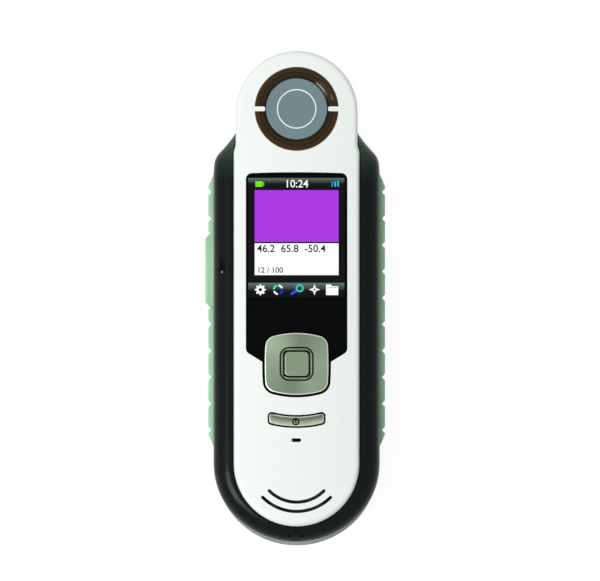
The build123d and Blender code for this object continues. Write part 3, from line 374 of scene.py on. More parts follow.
def smoked_amber():
    """Smoked brown gloss with painted light and shade: it turns amber towards the outer and inner edge of the
    ring, as light through the thin edges, and is painted dark at the step between its bands.
    """
    paint = Paint("smoked_amber")
    across = paint.span(paint.distance((0, RING_Y, 0)), 0, 1, RING_INNER, RING_OUTER)
    # Painted light and shade: an amber glow at both edges and a dark line at the groove step.
    shades = paint.ramp(
        across,
        (0.0, linear(92, 64, 18)),
        (0.10, linear(34, 25, 8)),
        (0.44, linear(54, 39, 10)),
        (0.53, linear(18, 13, 4)),
        (0.60, linear(58, 42, 11)),
        (0.88, linear(46, 32, 8)),
        (1.0, linear(176, 112, 30)),
    )
    paint.feed("Base Color", shades)
    paint.finish(paint.noise(240, 3.0), 0.06, 0.10, 0.0008)
    paint.set(Specular_IOR_Level=0.15)
    return paint


def pad_paint(name, drop, centre=None, anisotropic=0.75):
    """Brushed metal with a polished edge that is painted paler as a highlight. Rings of brush lines carry a
    painted reflection, paler left and right of their centre.
    """
    paint = brushed(name, NICKEL, 0.30, centre=centre, anisotropic=anisotropic)
    x, y, z = paint.parts()
    square = paint.maths("MULTIPLY", x, x)
    # Painted reflection: lighter left and right of the centre, darker above and below.
    if centre:
        aside = paint.maths("SUBTRACT", y, centre[1])
        total = paint.maths("ADD", paint.maths("MULTIPLY", aside, aside), square)
        share = paint.maths("DIVIDE", square, paint.maths("ADD", total, PAD_CENTRE_SOFTNESS ** 2))
        light = paint.maths("MULTIPLY_ADD", share, PAD_SIDE_LIGHT, PAD_LEAST_LIGHT)
        paint.feed("Base Color", paint.times(paint.fed("Base Color"), light))
    # Painted highlight: the polished edge is paler.
    level = paint.maths("MULTIPLY_ADD", square, 0.5 / CROWN, z)
    edge = paint.span(level, 0, 1, FACE_TOP - drop - EDGE_START, FACE_TOP - drop - EDGE_END)
    paint.feed("Base Color", paint.mixed("RGBA", edge, paint.fed("Base Color"), POLISHED_HIGHLIGHT))
    paint.feed("Roughness", paint.mixed("FLOAT", edge, paint.fed("Roughness"), POLISHED_ROUGHNESS))
    return paint


def power_paint():
    """Satin metal with painted shade along the upper half of the key and painted light on its lower half, as
    on its scooped face.
    """
    paint = brushed("power_nickel", NICKEL, 0.30, "X", depth=0.0004)
    reach = paint.distance((0, POWER_ARC_Y, 0))
    across = paint.span(reach, 0, 1, POWER_RADIUS - POWER_HALF, POWER_RADIUS + POWER_HALF)
    # Painted shade and light across the scoop: a dark band above, paler below.
    shades = paint.ramp(
        across,
        (0.05, linear(142, 152, 130)),
        (0.30, linear(88, 99, 82)),
        (0.55, linear(144, 151, 129)),
        (0.85, linear(196, 200, 176)),
    )
    paint.feed("Base Color", shades)
    paint.set(Metallic=0.7)
    return paint


# Roughness, scale of the grain and its depth in mm, scale of the patches, and the share by which a
# colour varies, with constants of the shader after them.
PLASTICS = {
    "shell_grey_green": dict(colour=GREY_GREEN, rough=0.48, grain=3000, depth=0.010, vary=0.04),
    "grip_rubber": dict(colour=GRIP, rough=0.62, grain=3600, depth=0.016, patch=140),
    "disc_slate": dict(colour=linear(104, 127, 131), rough=0.42, grain=4200, vary=0.04),
    "window_black": dict(colour=linear(4, 5, 5), rough=0.10, grain=500, depth=0.00005, vary=0.2,
                         Specular_IOR_Level=0.03),
    "display_panel": dict(colour=linear(20, 20, 22), rough=0.2, vary=0.1),
    "board_green": dict(colour=linear(24, 92, 52), rough=0.35, grain=900, depth=0.01, vary=0.2),
    "chip_black": dict(colour=linear(28, 28, 30), rough=0.5, vary=0.15),
    "inner_black": dict(colour=linear(22, 23, 23), rough=0.55, grain=2400, depth=0.012, vary=0.15),
    "silicone_grey": dict(colour=linear(58, 58, 57), rough=0.7, vary=0.1),
    "cell_wrap": dict(colour=linear(40, 66, 104), rough=0.35, vary=0.1),
    "clear_glass": dict(colour=linear(214, 228, 230), rough=0.05, grain=300, depth=0.0002, vary=0.02,
                        Transmission_Weight=0.9, IOR=1.5),
    "tile_white": dict(colour=linear(240, 240, 236), rough=0.22, vary=0.02,
                       Coat_Weight=0.4, Coat_Roughness=0.08),
    "foot_rubber": dict(colour=linear(34, 36, 35), rough=0.75, depth=0.02, vary=0.15),
    "flex_amber": dict(colour=linear(176, 100, 30), rough=0.25, vary=0.12),
    "gap_black": dict(colour=linear(7, 7, 6), rough=0.7, grain=2400, depth=0.002, vary=0.2,
                      Specular_IOR_Level=0.03),
    "led_white": dict(colour=linear(238, 238, 222), rough=0.3, vary=0.03),
    "print_white": dict(colour=linear(232, 238, 236), rough=0.45, vary=0.02),
    "mark_gloss": dict(colour=linear(3, 4, 4), rough=0.5, grain=900, depth=0.001, vary=0.2,
                       Specular_IOR_Level=0.05),
    # Pale colour for a painted glint.
    "mark_pale": dict(colour=linear(112, 128, 130), rough=0.3, vary=0.1),
}

METALS = {
    "nickel": dict(colour=NICKEL, rough=0.32),
    "tinned_steel": dict(colour=linear(198, 198, 192), rough=0.3, direction="X"),
    "contact_brass": dict(colour=linear(214, 176, 96), rough=0.28),
    "screw_steel": dict(colour=linear(140, 142, 146), rough=0.35, direction="X"),
    # Pale polished metal on a real bevel, painted paler as a rim highlight.
    "polished_edge": dict(colour=linear(212, 219, 204), rough=0.30, direction="X", vary=0.03, depth=0.0003),
}

paints = {"cover_white": cover_paint(), "frame_charcoal": frame_paint(), "smoked_amber": smoked_amber()}
for name, values in PLASTICS.items():
    paints[name] = moulded(name, **values)
for name, values in METALS.items():
    paints[name] = brushed(name, **values)
# Half metal, so that part of the rim's highlight is painted into its diffuse colour.
paints["polished_edge"].set(Metallic=0.55)
# Black for print and for painted shade in the gaps.
gap_black = paints["gap_black"]


def wear(obj, paint):
    obj.data.materials.clear()
    obj.data.materials.append(paint.material)


slot_of = {part["node"]: part["material_slot"] for part in frame["record"]["subparts"]}
for name, obj in frame["nodes"].items():
    wear(obj, paints[slot_of[name]])

wear(frame["nodes"]["nav_rocker"], pad_paint("pad_nickel", PAD_DROP, PAD_CENTRE))
wear(frame["nodes"]["select_key"], pad_paint("select_nickel", SELECT_DROP, anisotropic=0.0))
wear(frame["nodes"]["select_ring"], pad_paint("select_ring_nickel", SELECT_RING_DROP, PAD_CENTRE))
wear(frame["nodes"]["power_key"], power_paint())
wear(frame["nodes"]["microphone"], paints["inner_black"])


# Meshes and outlines

# How far an open ring and a dot are drawn round.
NEARLY_ROUND = 359.9
DOT_TURN = 345


def piece(name, mesh, paint, body="case", slot=None):
    """A new piece in the frame of the CAD part, which moves with a body."""
    obj = bpy.data.objects.new(name, mesh)
    bpy.context.scene.collection.objects.link(obj)
    wear(obj, paint)
    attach(obj, body)
    return obj


def mesh_from(bm, name):
    """The mesh that a bmesh holds. The bmesh is freed."""
    mesh = bpy.data.meshes.new(name)
    bm.to_mesh(mesh)
    bm.free()
    return mesh


def everything(bm):
    return bm.verts[:] + bm.edges[:] + bm.faces[:]


def loop_width(loop):
    return max(p[0] for p in loop) - min(p[0] for p in loop)


def slice_loop(node, height):
    """The widest outline of a CAD node at a height, as points in order that turn left."""
    digits = 7
    bm = bmesh.new()
    bm.from_mesh(frame["nodes"][node].data)
    cut = bmesh.ops.bisect_plane(bm, geom=everything(bm), plane_co=(0, 0, height), plane_no=(0, 0, 1))
    beside = {}
    for edge in cut["geom_cut"]:
        if isinstance(edge, bmesh.types.BMEdge):
            ends = [(round(v.co.x, digits), round(v.co.y, digits)) for v in edge.verts]
            for end, other in (ends, ends[::-1]):
                beside.setdefault(end, set()).add(other)
    bm.free()
    loops = []
    left = set(beside)
    while left:
        loop = [min(left)]
        left.discard(loop[0])
        while True:
            onward = [p for p in beside[loop[-1]] if p in left]
            if not onward:
                break
            loop.append(min(onward))
            left.discard(loop[-1])
        loops.append(loop)
    loop = max(loops, key=loop_width)
    turn = sum(a[0] * b[1] - b[0] * a[1] for a, b in zip(loop, loop[1:] + loop[:1]))
    return loop if turn > 0 else loop[::-1]


def grown(loop, amount):
    """The outline moved outwards by an amount."""
    shortest = 0.01 * MM
    loop = [p for i, p in enumerate(loop) if (Vector(p) - Vector(loop[i - 1])).length > shortest]
    made = []
    for i, p in enumerate(loop):
        before, after = Vector(loop[i - 1]), Vector(loop[(i + 1) % len(loop)])
        along = (Vector(p) - before).normalized() + (after - Vector(p)).normalized()
        along.normalize()
        made.append((p[0] + along.y * amount, p[1] - along.x * amount))
    return made


def strip_mesh(name, outer, inner):
    """Closed strip of quads between two rows of as many points."""
    n = len(outer)
    faces = [(i, (i + 1) % n, n + (i + 1) % n, n + i) for i in range(n)]
    mesh = bpy.data.meshes.new(name)
    mesh.from_pydata(outer + inner, [], faces)
    return mesh


def shade_strip(name, outer, inner, level):
    """Black strip of painted shade between two outlines, laid on the cover a number of layers high."""
    rows = [[(x, y, cover_at(x, y) + level * LAYER) for x, y in loop] for loop in (outer, inner)]
    return piece(name, strip_mesh(name, *rows), gap_black, slot="inner_black")


def bevel_strip(name, loop, body, drop, inset, width, fall):
    """Polished slope round the upper edge of a key that lies a drop below the face, in a pale metal that is
    partly a painted highlight.
    """
    top = crowned(FACE_TOP - drop)
    inner = [(x, y, top(x, y)) for x, y in grown(loop, -inset - width)]
    outer = [(x, y, top(x, y) - fall) for x, y in grown(loop, -inset)]
    mesh = strip_mesh(name, outer, inner)
    for polygon in mesh.polygons:
        polygon.use_smooth = True
    return piece(name, mesh, paints["polished_edge"], body, slot="nickel")


def slab(name, outlines, level, paint, surface=window_at, step=1.2 * MM, both_ways=False, **kind):
    """Thin pieces of the given outlines, laid on a surface a number of layers high and bent to it."""
    bm = bmesh.new()
    for outline in outlines:
        bm.faces.new([bm.verts.new((x, y, 0)) for x, y in outline])
    for axis in (0, 1) if both_ways else (0,):
        low = min(v.co[axis] for v in bm.verts)
        high = max(v.co[axis] for v in bm.verts)
        cuts = int((high - low) / step)
        across = Vector((0, 0, 0))
        across[axis] = 1
        for i in range(1, cuts + 1):
            at = across * (low + (high - low) * i / (cuts + 1))
            bmesh.ops.bisect_plane(bm, geom=everything(bm), plane_co=at, plane_no=across)
    bmesh.ops.recalc_face_normals(bm, faces=bm.faces[:])
    for face in bm.faces:
        if face.normal.z < 0:
            face.normal_flip()
    upper = bmesh.ops.extrude_face_region(bm, geom=bm.faces[:])
    for v in upper["geom"]:
        if isinstance(v, bmesh.types.BMVert):
            v.co.z += LAYER_THICKNESS
    for v in bm.verts:
        v.co.z += surface(v.co.x, v.co.y) + level * LAYER
    bmesh.ops.recalc_face_normals(bm, faces=bm.faces[:])
    return piece(name, mesh_from(bm, name), paint, **kind)


def rectangle(x0, y0, x1, y1):
    """Outline of a box of the picture, given by its pixel sides."""
    left, top = place(x0, y0)
    right, bottom = place(x1, y1)
    return [(left, bottom), (right, bottom), (right, top), (left, top)]


def polar(cx, cy, reach, angle):
    """A point at a reach and an angle in radians from a centre."""
    return cx + reach * math.cos(angle), cy + reach * math.sin(angle)


def arc(cx, cy, radius, start, end, steps=32):
    """Points on an arc round a centre in metres, angles in degrees."""
    return [polar(cx, cy, radius, math.radians(start + (end - start) * i / steps)) for i in range(steps + 1)]


def band(cx, cy, inner, outer, start, end, steps):
    """Outline of a part of a ring."""
    return arc(cx, cy, outer, start, end, steps) + arc(cx, cy, inner, end, start, steps)


def hoop(cx, cy, inner, outer, steps, turn=NEARLY_ROUND):
    """Outline of a ring that a hair's gap keeps open, so that it is one outline."""
    return band(cx, cy, inner, outer, 0, turn, steps)


def dot(cx, cy, radius, steps=15):
    """Outline of a small round spot, whose last side closes it."""
    return arc(cx, cy, radius, 0, DOT_TURN, steps)


def capsule(cx, cy, half_width, half_length):
    """Outline of a slot with round ends along Y."""
    reach = half_length - half_width
    return arc(cx, cy + reach, half_width, 0, 180, 12) + arc(cx, cy - reach, half_width, 180, 360, 12)


# Screen
# Boxes are given as left, top, right and bottom pixels of the picture, and points by their pixels.

SCREEN_BOX = (248.2, 178, 344.4, 296.9)
TITLE_BOX = (248.2, 178, 344.4, 188.2)
TITLE_FADE = (188, 178)
SWATCH_BOX = (254.7, 190.1, 338.6, 241.9)
PANEL_BOX = (254.7, 243.3, 338.6, 275.1)
ICON_BAR_BOX = (248.2, 282.8, 344.4, 296.9)
ICON_BAR_FADE = (297, 282.8)
BATTERY_BOXES = ((255.4, 181.2, 262.6, 186.8), (263.0, 182.6, 264.2, 185.4))
SIGNAL_BOX = (331.5, 182.0, 333.1, 186.6)
SIGNAL_STEP = 2.9
SIGNAL_RISE = 0.4
TIME_POINT = (296.6, 187.3)
TIME_HEIGHT = 7.4
VALUES_POINT = (257, 252.0)
VALUES_HEIGHT = 7.2
COUNT_POINT = (257, 272.7)
COUNT_HEIGHT = 5.4
GEAR_POINT = (260.4, 289.7)
GEAR_RADIUS = 5.5 * PIXEL
GEAR_EYE = 1.7 * PIXEL
GEAR_TEETH = 8
TURN_POINT = (278.1, 289.7)
TURN_INNER = 3.3 * PIXEL
TURN_OUTER = 5.2 * PIXEL
TURN_START = 20
TURN_LENGTH = 66
LENS_POINT = (299.7, 288.2)
LENS_INNER = 2.4 * PIXEL
LENS_OUTER = 4.0 * PIXEL
LENS_TURN = 359.5
LENS_HANDLE_POINT = (291.2, 294.2)
LENS_HANDLE_HALF = 1.2 * PIXEL
STAR_POINT = (314.5, 289.6)
STAR_OUTER = 5.6 * PIXEL
STAR_INNER = 2.1 * PIXEL
STAR_EYE = 1.0 * PIXEL
STAR_RAYS = 4
FOLDER_BOX = (326, 284.4, 338.3, 295.1)
FOLDER_SHELF = 1.8 * PIXEL
FOLDER_TAB_LOW = 6.2 * PIXEL
FOLDER_TAB_HIGH = 4.8 * PIXEL
FOLDER_FOLD_BOX = (327.2, 287.4, 337.6, 288.0)

# Figures: their height as a share of the font's size, their extra weight, and the layer they lie on.
FIGURE_SHARE = 0.69
FIGURE_WEIGHT = 0.010
FIGURE_LEVEL = 3


def on_screen(name, outlines, level, paint):
    """A lit shape under the window, a number of layers high."""
    slab(name, outlines, level, paint, slot="display_panel")


def fading(name, dark, pale, rows):
    """A lit bar that fades from dark to pale between two pixel rows."""
    low, high = (place(0, row)[1] for row in rows)
    return lit(name, dark, pale, low, high)


def words(name, text, point, height, align, paint):
    """Plain figures on the screen, placed by the pixels of their base line, with a height in pixels."""
    curve = bpy.data.curves.new(name, "FONT")
    curve.body = text
    curve.size = height * PIXEL / FIGURE_SHARE
    curve.align_x = align
    curve.resolution_u = 4
    curve.offset = FIGURE_WEIGHT * curve.size
    temp = bpy.data.objects.new(name + "_curve", curve)
    bpy.context.scene.collection.objects.link(temp)
    bpy.context.view_layer.update()
    graph = bpy.context.evaluated_depsgraph_get()
    mesh = bpy.data.meshes.new_from_object(temp.evaluated_get(graph))
    bpy.data.objects.remove(temp)
    left, base = place(*point)
    for v in mesh.vertices:
        v.co.x += left
        v.co.y += base
        v.co.z = window_at(v.co.x, v.co.y) + FIGURE_LEVEL * LAYER
    mesh.name = name
    piece(name, mesh, paint, slot="display_panel")


def gear(cx, cy, radius, teeth):
    """Outline of a toothed wheel."""
    tooth = ((-0.30, 0.74), (-0.18, 1.0), (0.18, 1.0), (0.30, 0.74))
    corners = [(i + share, reach) for i in range(teeth) for share, reach in tooth]
    return [polar(cx, cy, radius * reach, 2 * math.pi * at / teeth) for at, reach in corners]


def star(cx, cy, outer, inner, rays):
    """Outline of a star with its first ray along X."""
    corners = 2 * rays
    return [polar(cx, cy, inner if i % 2 else outer, 2 * math.pi * i / corners) for i in range(corners)]


def bar_between(start, end, half_width):
    """Outline of a straight bar between two points."""
    away = (end - start).normalized()
    side = Vector((-away.y, away.x)) * half_width
    return [tuple(start - side), tuple(start + side), tuple(end + side), tuple(end - side)]


screen_white = lit("screen_white", linear(254, 254, 255))
screen_ink = lit("screen_ink", linear(14, 15, 17))
screen_eye = lit("screen_eye", linear(20, 24, 24))

on_screen("screen_base", [rectangle(*SCREEN_BOX)], 0, lit("screen_black", linear(10, 12, 12)))
title_fade = fading("screen_title_fade", linear(10, 13, 13), linear(92, 112, 106), TITLE_FADE)
on_screen("screen_title_bar", [rectangle(*TITLE_BOX)], 1, title_fade)
on_screen("screen_swatch", [rectangle(*SWATCH_BOX)], 1, lit("screen_purple", linear(171, 56, 226)))
on_screen("screen_panel", [rectangle(*PANEL_BOX)], 1, screen_white)
icon_fade = fading("screen_bar_fade", linear(9, 11, 11), linear(96, 116, 112), ICON_BAR_FADE)
on_screen("screen_icon_bar", [rectangle(*ICON_BAR_BOX)], 1, icon_fade)
battery = [rectangle(*box) for box in BATTERY_BOXES]
on_screen("screen_battery", battery, 2, lit("screen_green", linear(120, 230, 0)))

signal_shades = (linear(20, 150, 196), linear(84, 172, 236), linear(30, 196, 250))
for i, shade in enumerate(signal_shades):
    name = "screen_signal_" + str(i + 1)
    left, top, right, bottom = SIGNAL_BOX
    bar = rectangle(left + SIGNAL_STEP * i, top - SIGNAL_RISE * i, right + SIGNAL_STEP * i, bottom)
    on_screen(name, [bar], 2, lit(name, shade))

words("screen_time", "10:24", TIME_POINT, TIME_HEIGHT, "CENTER", screen_white)
words("screen_values", "46.2  65.8  -50.4", VALUES_POINT, VALUES_HEIGHT, "LEFT", screen_ink)
words("screen_count", "12 / 100", COUNT_POINT, COUNT_HEIGHT, "LEFT", screen_ink)

gear_x, gear_y = place(*GEAR_POINT)
on_screen("screen_gear", [gear(gear_x, gear_y, GEAR_RADIUS, GEAR_TEETH)], 2, screen_white)
on_screen("screen_gear_eye", [dot(gear_x, gear_y, GEAR_EYE, 23)], 3, screen_eye)

turn_x, turn_y = place(*TURN_POINT)
turn_shades = (linear(250, 252, 255), linear(70, 225, 205), linear(244, 248, 252), linear(24, 52, 250))
for i, shade in enumerate(turn_shades):
    name = "screen_turn_" + str(i + 1)
    start = TURN_START + 90 * i
    part = band(turn_x, turn_y, TURN_INNER, TURN_OUTER, start, start + TURN_LENGTH, 14)
    on_screen(name, [part], 2, lit(name, shade))

lens = Vector(place(*LENS_POINT))
handle_end = Vector(place(*LENS_HANDLE_POINT))
handle_start = lens + (handle_end - lens).normalized() * LENS_OUTER
rim = hoop(lens.x, lens.y, LENS_INNER, LENS_OUTER, 32, LENS_TURN)
handle = bar_between(handle_start, handle_end, LENS_HANDLE_HALF)
on_screen("screen_lens", [rim], 2, lit("screen_teal", linear(50, 210, 190)))
on_screen("screen_lens_handle", [handle], 2, lit("screen_handle", linear(40, 80, 250)))

star_x, star_y = place(*STAR_POINT)
on_screen("screen_star", [star(star_x, star_y, STAR_OUTER, STAR_INNER, STAR_RAYS)], 2, screen_white)
on_screen("screen_star_eye", [dot(star_x, star_y, STAR_EYE)], 3, screen_eye)

low_left, low_right, (right, high), (left, _) = rectangle(*FOLDER_BOX)
shelf = high - FOLDER_SHELF
folder_top = [(right, shelf), (left + FOLDER_TAB_LOW, shelf), (left + FOLDER_TAB_HIGH, high), (left, high)]
on_screen("screen_folder", [[low_left, low_right] + folder_top], 2, screen_white)
fold = rectangle(*FOLDER_FOLD_BOX)
on_screen("screen_folder_fold", [fold], 3, lit("screen_fold", linear(150, 160, 160)))


# Thumb pad and power key

# Heights of the painted shade strips and of marks above their surface, in layers.
SHADE_STRIP_LEVEL = 0.6
MARK_LEVEL = 0.8

# Reaches of the painted shade strips round the pad and the power key.
PAD_GAP_OUTER = 0.66 * MM
PAD_GAP_INNER = 0.46 * MM
PAD_SLICE_Z = FACE_TOP - 1.6 * MM
POWER_GAP_OUTER = 0.56 * MM
POWER_GAP_INNER = 0.20 * MM
POWER_SLICE_Z = FACE_TOP - 1.2 * MM
POWER_SYMBOL_POINT = (295.8, 421.6)
POWER_SYMBOL_INNER = 2.3 * PIXEL
POWER_SYMBOL_OUTER = 3.8 * PIXEL
POWER_SYMBOL_BAR_BOX = (295.0, 419.2, 296.6, 423.2)

pad_loop = slice_loop("nav_rocker", PAD_SLICE_Z)
# Painted shade: a black strip in the gap round the pad.
shade_strip("pad_gap_shade", grown(pad_loop, PAD_GAP_OUTER), grown(pad_loop, PAD_GAP_INNER), SHADE_STRIP_LEVEL)
bevel_strip("pad_rim", pad_loop, "pad", drop=0.07 * MM, inset=0.22 * MM, width=0.30 * MM, fall=0.08 * MM)

power_loop = slice_loop("power_key", POWER_SLICE_Z)
bevel_strip("power_key_rim", power_loop, "power_button", drop=0.235 * MM, inset=0.02 * MM, width=0.30 * MM,
            fall=0.10 * MM)
power_gap = [grown(power_loop, reach) for reach in (POWER_GAP_OUTER, POWER_GAP_INNER)]
# Painted shade: a black strip in the gap round the power key.
shade_strip("power_key_gap_shade", *power_gap, SHADE_STRIP_LEVEL)

power_top = surface_of("power_key")
power_x, power_y = place(*POWER_SYMBOL_POINT)
power_symbol = {
    "power_symbol_ring": hoop(power_x, power_y, POWER_SYMBOL_INNER, POWER_SYMBOL_OUTER, 36),
    "power_symbol_bar": rectangle(*POWER_SYMBOL_BAR_BOX),
}
for name, outline in power_symbol.items():
    slab(name, [outline], MARK_LEVEL, gap_black, surface=power_top, step=0.5 * MM, both_ways=True,
         body="power_button", slot="nickel")


# Microphone and speaker

# Heights of the painted shade round a slot above the cover and of the mesh in it below, in layers.
EDGE_LEVEL = 0.5
MESH_LEVEL = -22

MICROPHONE_POINT = (295.65, 440.2)
MICROPHONE_HOLE = (0.46 * MM, 1.51 * MM)
MICROPHONE_SHADE = (0.62 * MM, 1.68 * MM)
SPEAKER_SHADE_OUT = 0.10 * MM
SPEAKER_SHADE_IN = 0.04 * MM


def microphone_slot(half_width, half_length):
    """Outline of the microphone's slot, which lies along X."""
    x, y = place(*MICROPHONE_POINT)
    return [(x + v, y - u) for u, v in capsule(0, 0, half_width, half_length)]


def slot_end(radius, half_width, turn, start):
    """Round end of a curved slot, without the points that it shares with the long sides."""
    x, y = polar(0, TAIL_Y, radius, math.radians(turn))
    return arc(x, y, half_width, start, start + 180, 8)[1:-1]


def curved_slot(radius, half_width):
    """Outline of a slot with round ends that follows an arc round the tail centre."""
    outer = arc(0, TAIL_Y, radius + half_width, SPEAKER_START, SPEAKER_END)
    last_end = slot_end(radius, half_width, SPEAKER_END, SPEAKER_END)
    inner = arc(0, TAIL_Y, radius - half_width, SPEAKER_END, SPEAKER_START)
    first_end = slot_end(radius, half_width, SPEAKER_START, SPEAKER_START + 180)
    return outer + last_end + inner + first_end


microphone_hole = microphone_slot(*MICROPHONE_HOLE)
# Painted shade: black strips round the microphone and speaker slots.
shade_strip("microphone_gap_shade", microphone_slot(*MICROPHONE_SHADE), microphone_hole, EDGE_LEVEL)
slab("microphone_mesh", [microphone_hole], MESH_LEVEL, gap_black, surface=cover_at, slot="inner_black")

for i, radius in enumerate(SPEAKER_RADII):
    outside = curved_slot(radius, SPEAKER_HALF + SPEAKER_SHADE_OUT)
    inside = curved_slot(radius, SPEAKER_HALF - SPEAKER_SHADE_IN)
    shade_strip("speaker_gap_shade_" + str(i + 1), outside, inside, EDGE_LEVEL)


# Side key

KEY_GAP = 0.35 * MM
WEB_INSET = 0.04 * MM
WEB_FACE = -28.9 * MM
WEB_FOLD = -28.6 * MM
WEB_BACK = -27.8 * MM

key_low, key_high = (Vector(corner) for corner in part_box("side_key"))


def key_web(name, start):
    """Thin rubber web with a folded face that closes the gap at an end of the side key."""
    y0 = start + WEB_INSET
    y1 = start + KEY_GAP - WEB_INSET
    outline = [(WEB_BACK, y0), (WEB_FACE, y0), (WEB_FOLD, (y0 + y1) / 2), (WEB_FACE, y1), (WEB_BACK, y1)]
    bm = bmesh.new()
    low = [bm.verts.new((x, y, key_low.z)) for x, y in outline]
    high = [bm.verts.new((x, y, key_high.z)) for x, y in outline]
    bm.faces.new(low)
    bm.faces.new(high)
    for i in range(len(low)):
        j = (i + 1) % len(low)
        bm.faces.new((low[i], low[j], high[j], high[i]))
    bmesh.ops.recalc_face_normals(bm, faces=bm.faces[:])
    piece(name, mesh_from(bm, name), paints["grip_rubber"], slot="grip_rubber")


key_web("side_key_web_1", key_low.y - KEY_GAP)
key_web("side_key_web_2", key_high.y)


# Marks on the frame

RECORD_MARK_POINT = (222, 266)
RECORD_MARK_HALVES = (2.6 * PIXEL, 6.5 * PIXEL)
RECORD_STAND_POINT = (222, 268)
RECORD_STAND_RADII = (3.9 * PIXEL, 4.6 * PIXEL)
RECORD_STAND_START = 190
RECORD_STAND_END = 350
# Place and size of a pale dot painted as a glint in the record mark.
RECORD_GLINT_POINT = (222, 272)
RECORD_GLINT_RADIUS = 1.1 * PIXEL
SOCKET_ARROW_BOX = (293.9, 531.4, 297.5, 534.6)
SOCKET_LEFT_DOT_POINT = (289.4, 536.2)
SOCKET_RIGHT_DOT_POINT = (302.0, 535.8)
SOCKET_DOT_RADIUS = 1.9 * PIXEL
SOCKET_MARK_BAR_BOX = (290.2, 539.6, 300.8, 541.2)

frame_top = surface_of("mid_frame")


def on_frame(name, outlines, level=MARK_LEVEL, paint=paints["mark_gloss"]):
    """A mark laid on the curved band of the frame."""
    slab(name, outlines, level, paint, surface=frame_top, step=0.4 * MM, both_ways=True,
         slot="frame_charcoal")


stand = band(*place(*RECORD_STAND_POINT), *RECORD_STAND_RADII, RECORD_STAND_START, RECORD_STAND_END, 16)
record_glint = dot(*place(*RECORD_GLINT_POINT), RECORD_GLINT_RADIUS)
on_frame("record_mark", [capsule(*place(*RECORD_MARK_POINT), *RECORD_MARK_HALVES)])
on_frame("record_mark_stand", [stand])
# Painted highlight: a pale glint in the mark.
on_frame("record_mark_glint", [record_glint], MARK_LEVEL + 1, paints["mark_pale"])

arrow_low_left, arrow_low_right, arrow_high_right, arrow_high_left = rectangle(*SOCKET_ARROW_BOX)
arrow_tip = ((arrow_low_left[0] + arrow_low_right[0]) / 2, arrow_low_left[1])
socket_marks = [
    [arrow_high_left, arrow_tip, arrow_high_right],
    dot(*place(*SOCKET_LEFT_DOT_POINT), SOCKET_DOT_RADIUS),
    dot(*place(*SOCKET_RIGHT_DOT_POINT), SOCKET_DOT_RADIUS),
]
on_frame("socket_mark", socket_marks)
on_frame("socket_mark_bar", [rectangle(*SOCKET_MARK_BAR_BOX)])


# Disc

DISC_CIRCLE_RADII = (6.2 * MM, 6.6 * MM)

disc_circle = hoop(0, RING_Y, *DISC_CIRCLE_RADII, 96)
disc_top = surface_of("target_disc")
slab("disc_circle", [disc_circle], EDGE_LEVEL, paints["print_white"], surface=disc_top, slot="cover_white")


# Ring
# The profile gives the distance from the ring's axis and the height, both in mm.

TICK_HALF = 0.92 * MM
RING_STEPS = 160
RING_FLOOR = 28.3
RING_PROFILE = [
    (13.93, RING_FLOOR), (13.93, 31.40), (13.87, 31.54), (13.72, 31.63), (13.30, 31.70), (12.85, 31.69),
    (12.40, 31.60), (12.22, 31.53), (12.17, 31.40), (12.08, 31.36), (12.02, 31.39), (11.66, 31.27),
    (11.61, 31.20), (11.56, 31.19), (11.22, 31.08), (11.17, 31.01), (11.12, 31.00), (10.80, 30.89),
    (10.75, 30.83), (10.70, 30.82), (10.44, 30.73), (10.34, 30.64), (10.34, RING_FLOOR),
]


def ring_half(name, side):
    """Half of the turned ring, cut straight beside the ticks. Its turned edges are sharp."""
    bm = bmesh.new()
    loops = []
    for i in range(RING_STEPS):
        a = 2 * math.pi * i / RING_STEPS
        loops.append([bm.verts.new((*polar(0, 0, r * MM, a), z * MM)) for r, z in RING_PROFILE])
    count = len(RING_PROFILE)
    for i in range(RING_STEPS):
        here, there = loops[i], loops[(i + 1) % RING_STEPS]
        for j in range(count):
            k = (j + 1) % count
            bm.faces.new((here[j], there[j], there[k], here[k]))
            bm.edges.get((here[j], there[j])).smooth = False
    cut = bmesh.ops.bisect_plane(bm, geom=everything(bm), plane_co=(0, side * TICK_HALF, 0),
                                 plane_no=(0, side, 0), clear_inner=True)
    edges = [e for e in cut["geom_cut"] if isinstance(e, bmesh.types.BMEdge)]
    bmesh.ops.holes_fill(bm, edges=edges, sides=0)
    bmesh.ops.recalc_face_normals(bm, faces=bm.faces[:])
    for v in bm.verts:
        v.co.y += RING_Y
        v.co.z -= v.co.x ** 2 / (2 * CROWN)
    mesh = mesh_from(bm, name)
    for polygon in mesh.polygons:
        polygon.use_smooth = len(polygon.vertices) == 4
    return piece(name, mesh, paints["smoked_amber"], slot="smoked_amber")


upper_ring = ring_half("target_ring_upper", 1)
ring_half("target_ring_lower", -1)
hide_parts("target_ring")


# Studio
# The floor and the world glow white only for rays that look at the background.

FLOOR_REACH = 3.0
FLOOR_GREY = 0.35
FLOOR_GLOW = 0.84
WORLD_LIGHT = 0.27
WORLD_SEEN = 1.0
LAMP_AIM = 0.02
SENSOR_WIDTH = 36.0
CAMERA_DISTANCE = 9.0
CAMERA_CLIP_END = 30.0

scene = bpy.context.scene
scene.view_settings.view_transform = "Standard"


def background_rays(tree):
    """One for rays of the camera, of gloss and of glass, and nought for the rest."""
    path = tree.nodes.new("ShaderNodeLightPath")
    total = path.outputs["Is Camera Ray"]
    for kind in ("Is Glossy Ray", "Is Transmission Ray"):
        either = tree.nodes.new("ShaderNodeMath")
        either.operation = "MAXIMUM"
        tree.links.new(total, either.inputs[0])
        tree.links.new(path.outputs[kind], either.inputs[1])
        total = either.outputs[0]
    return total


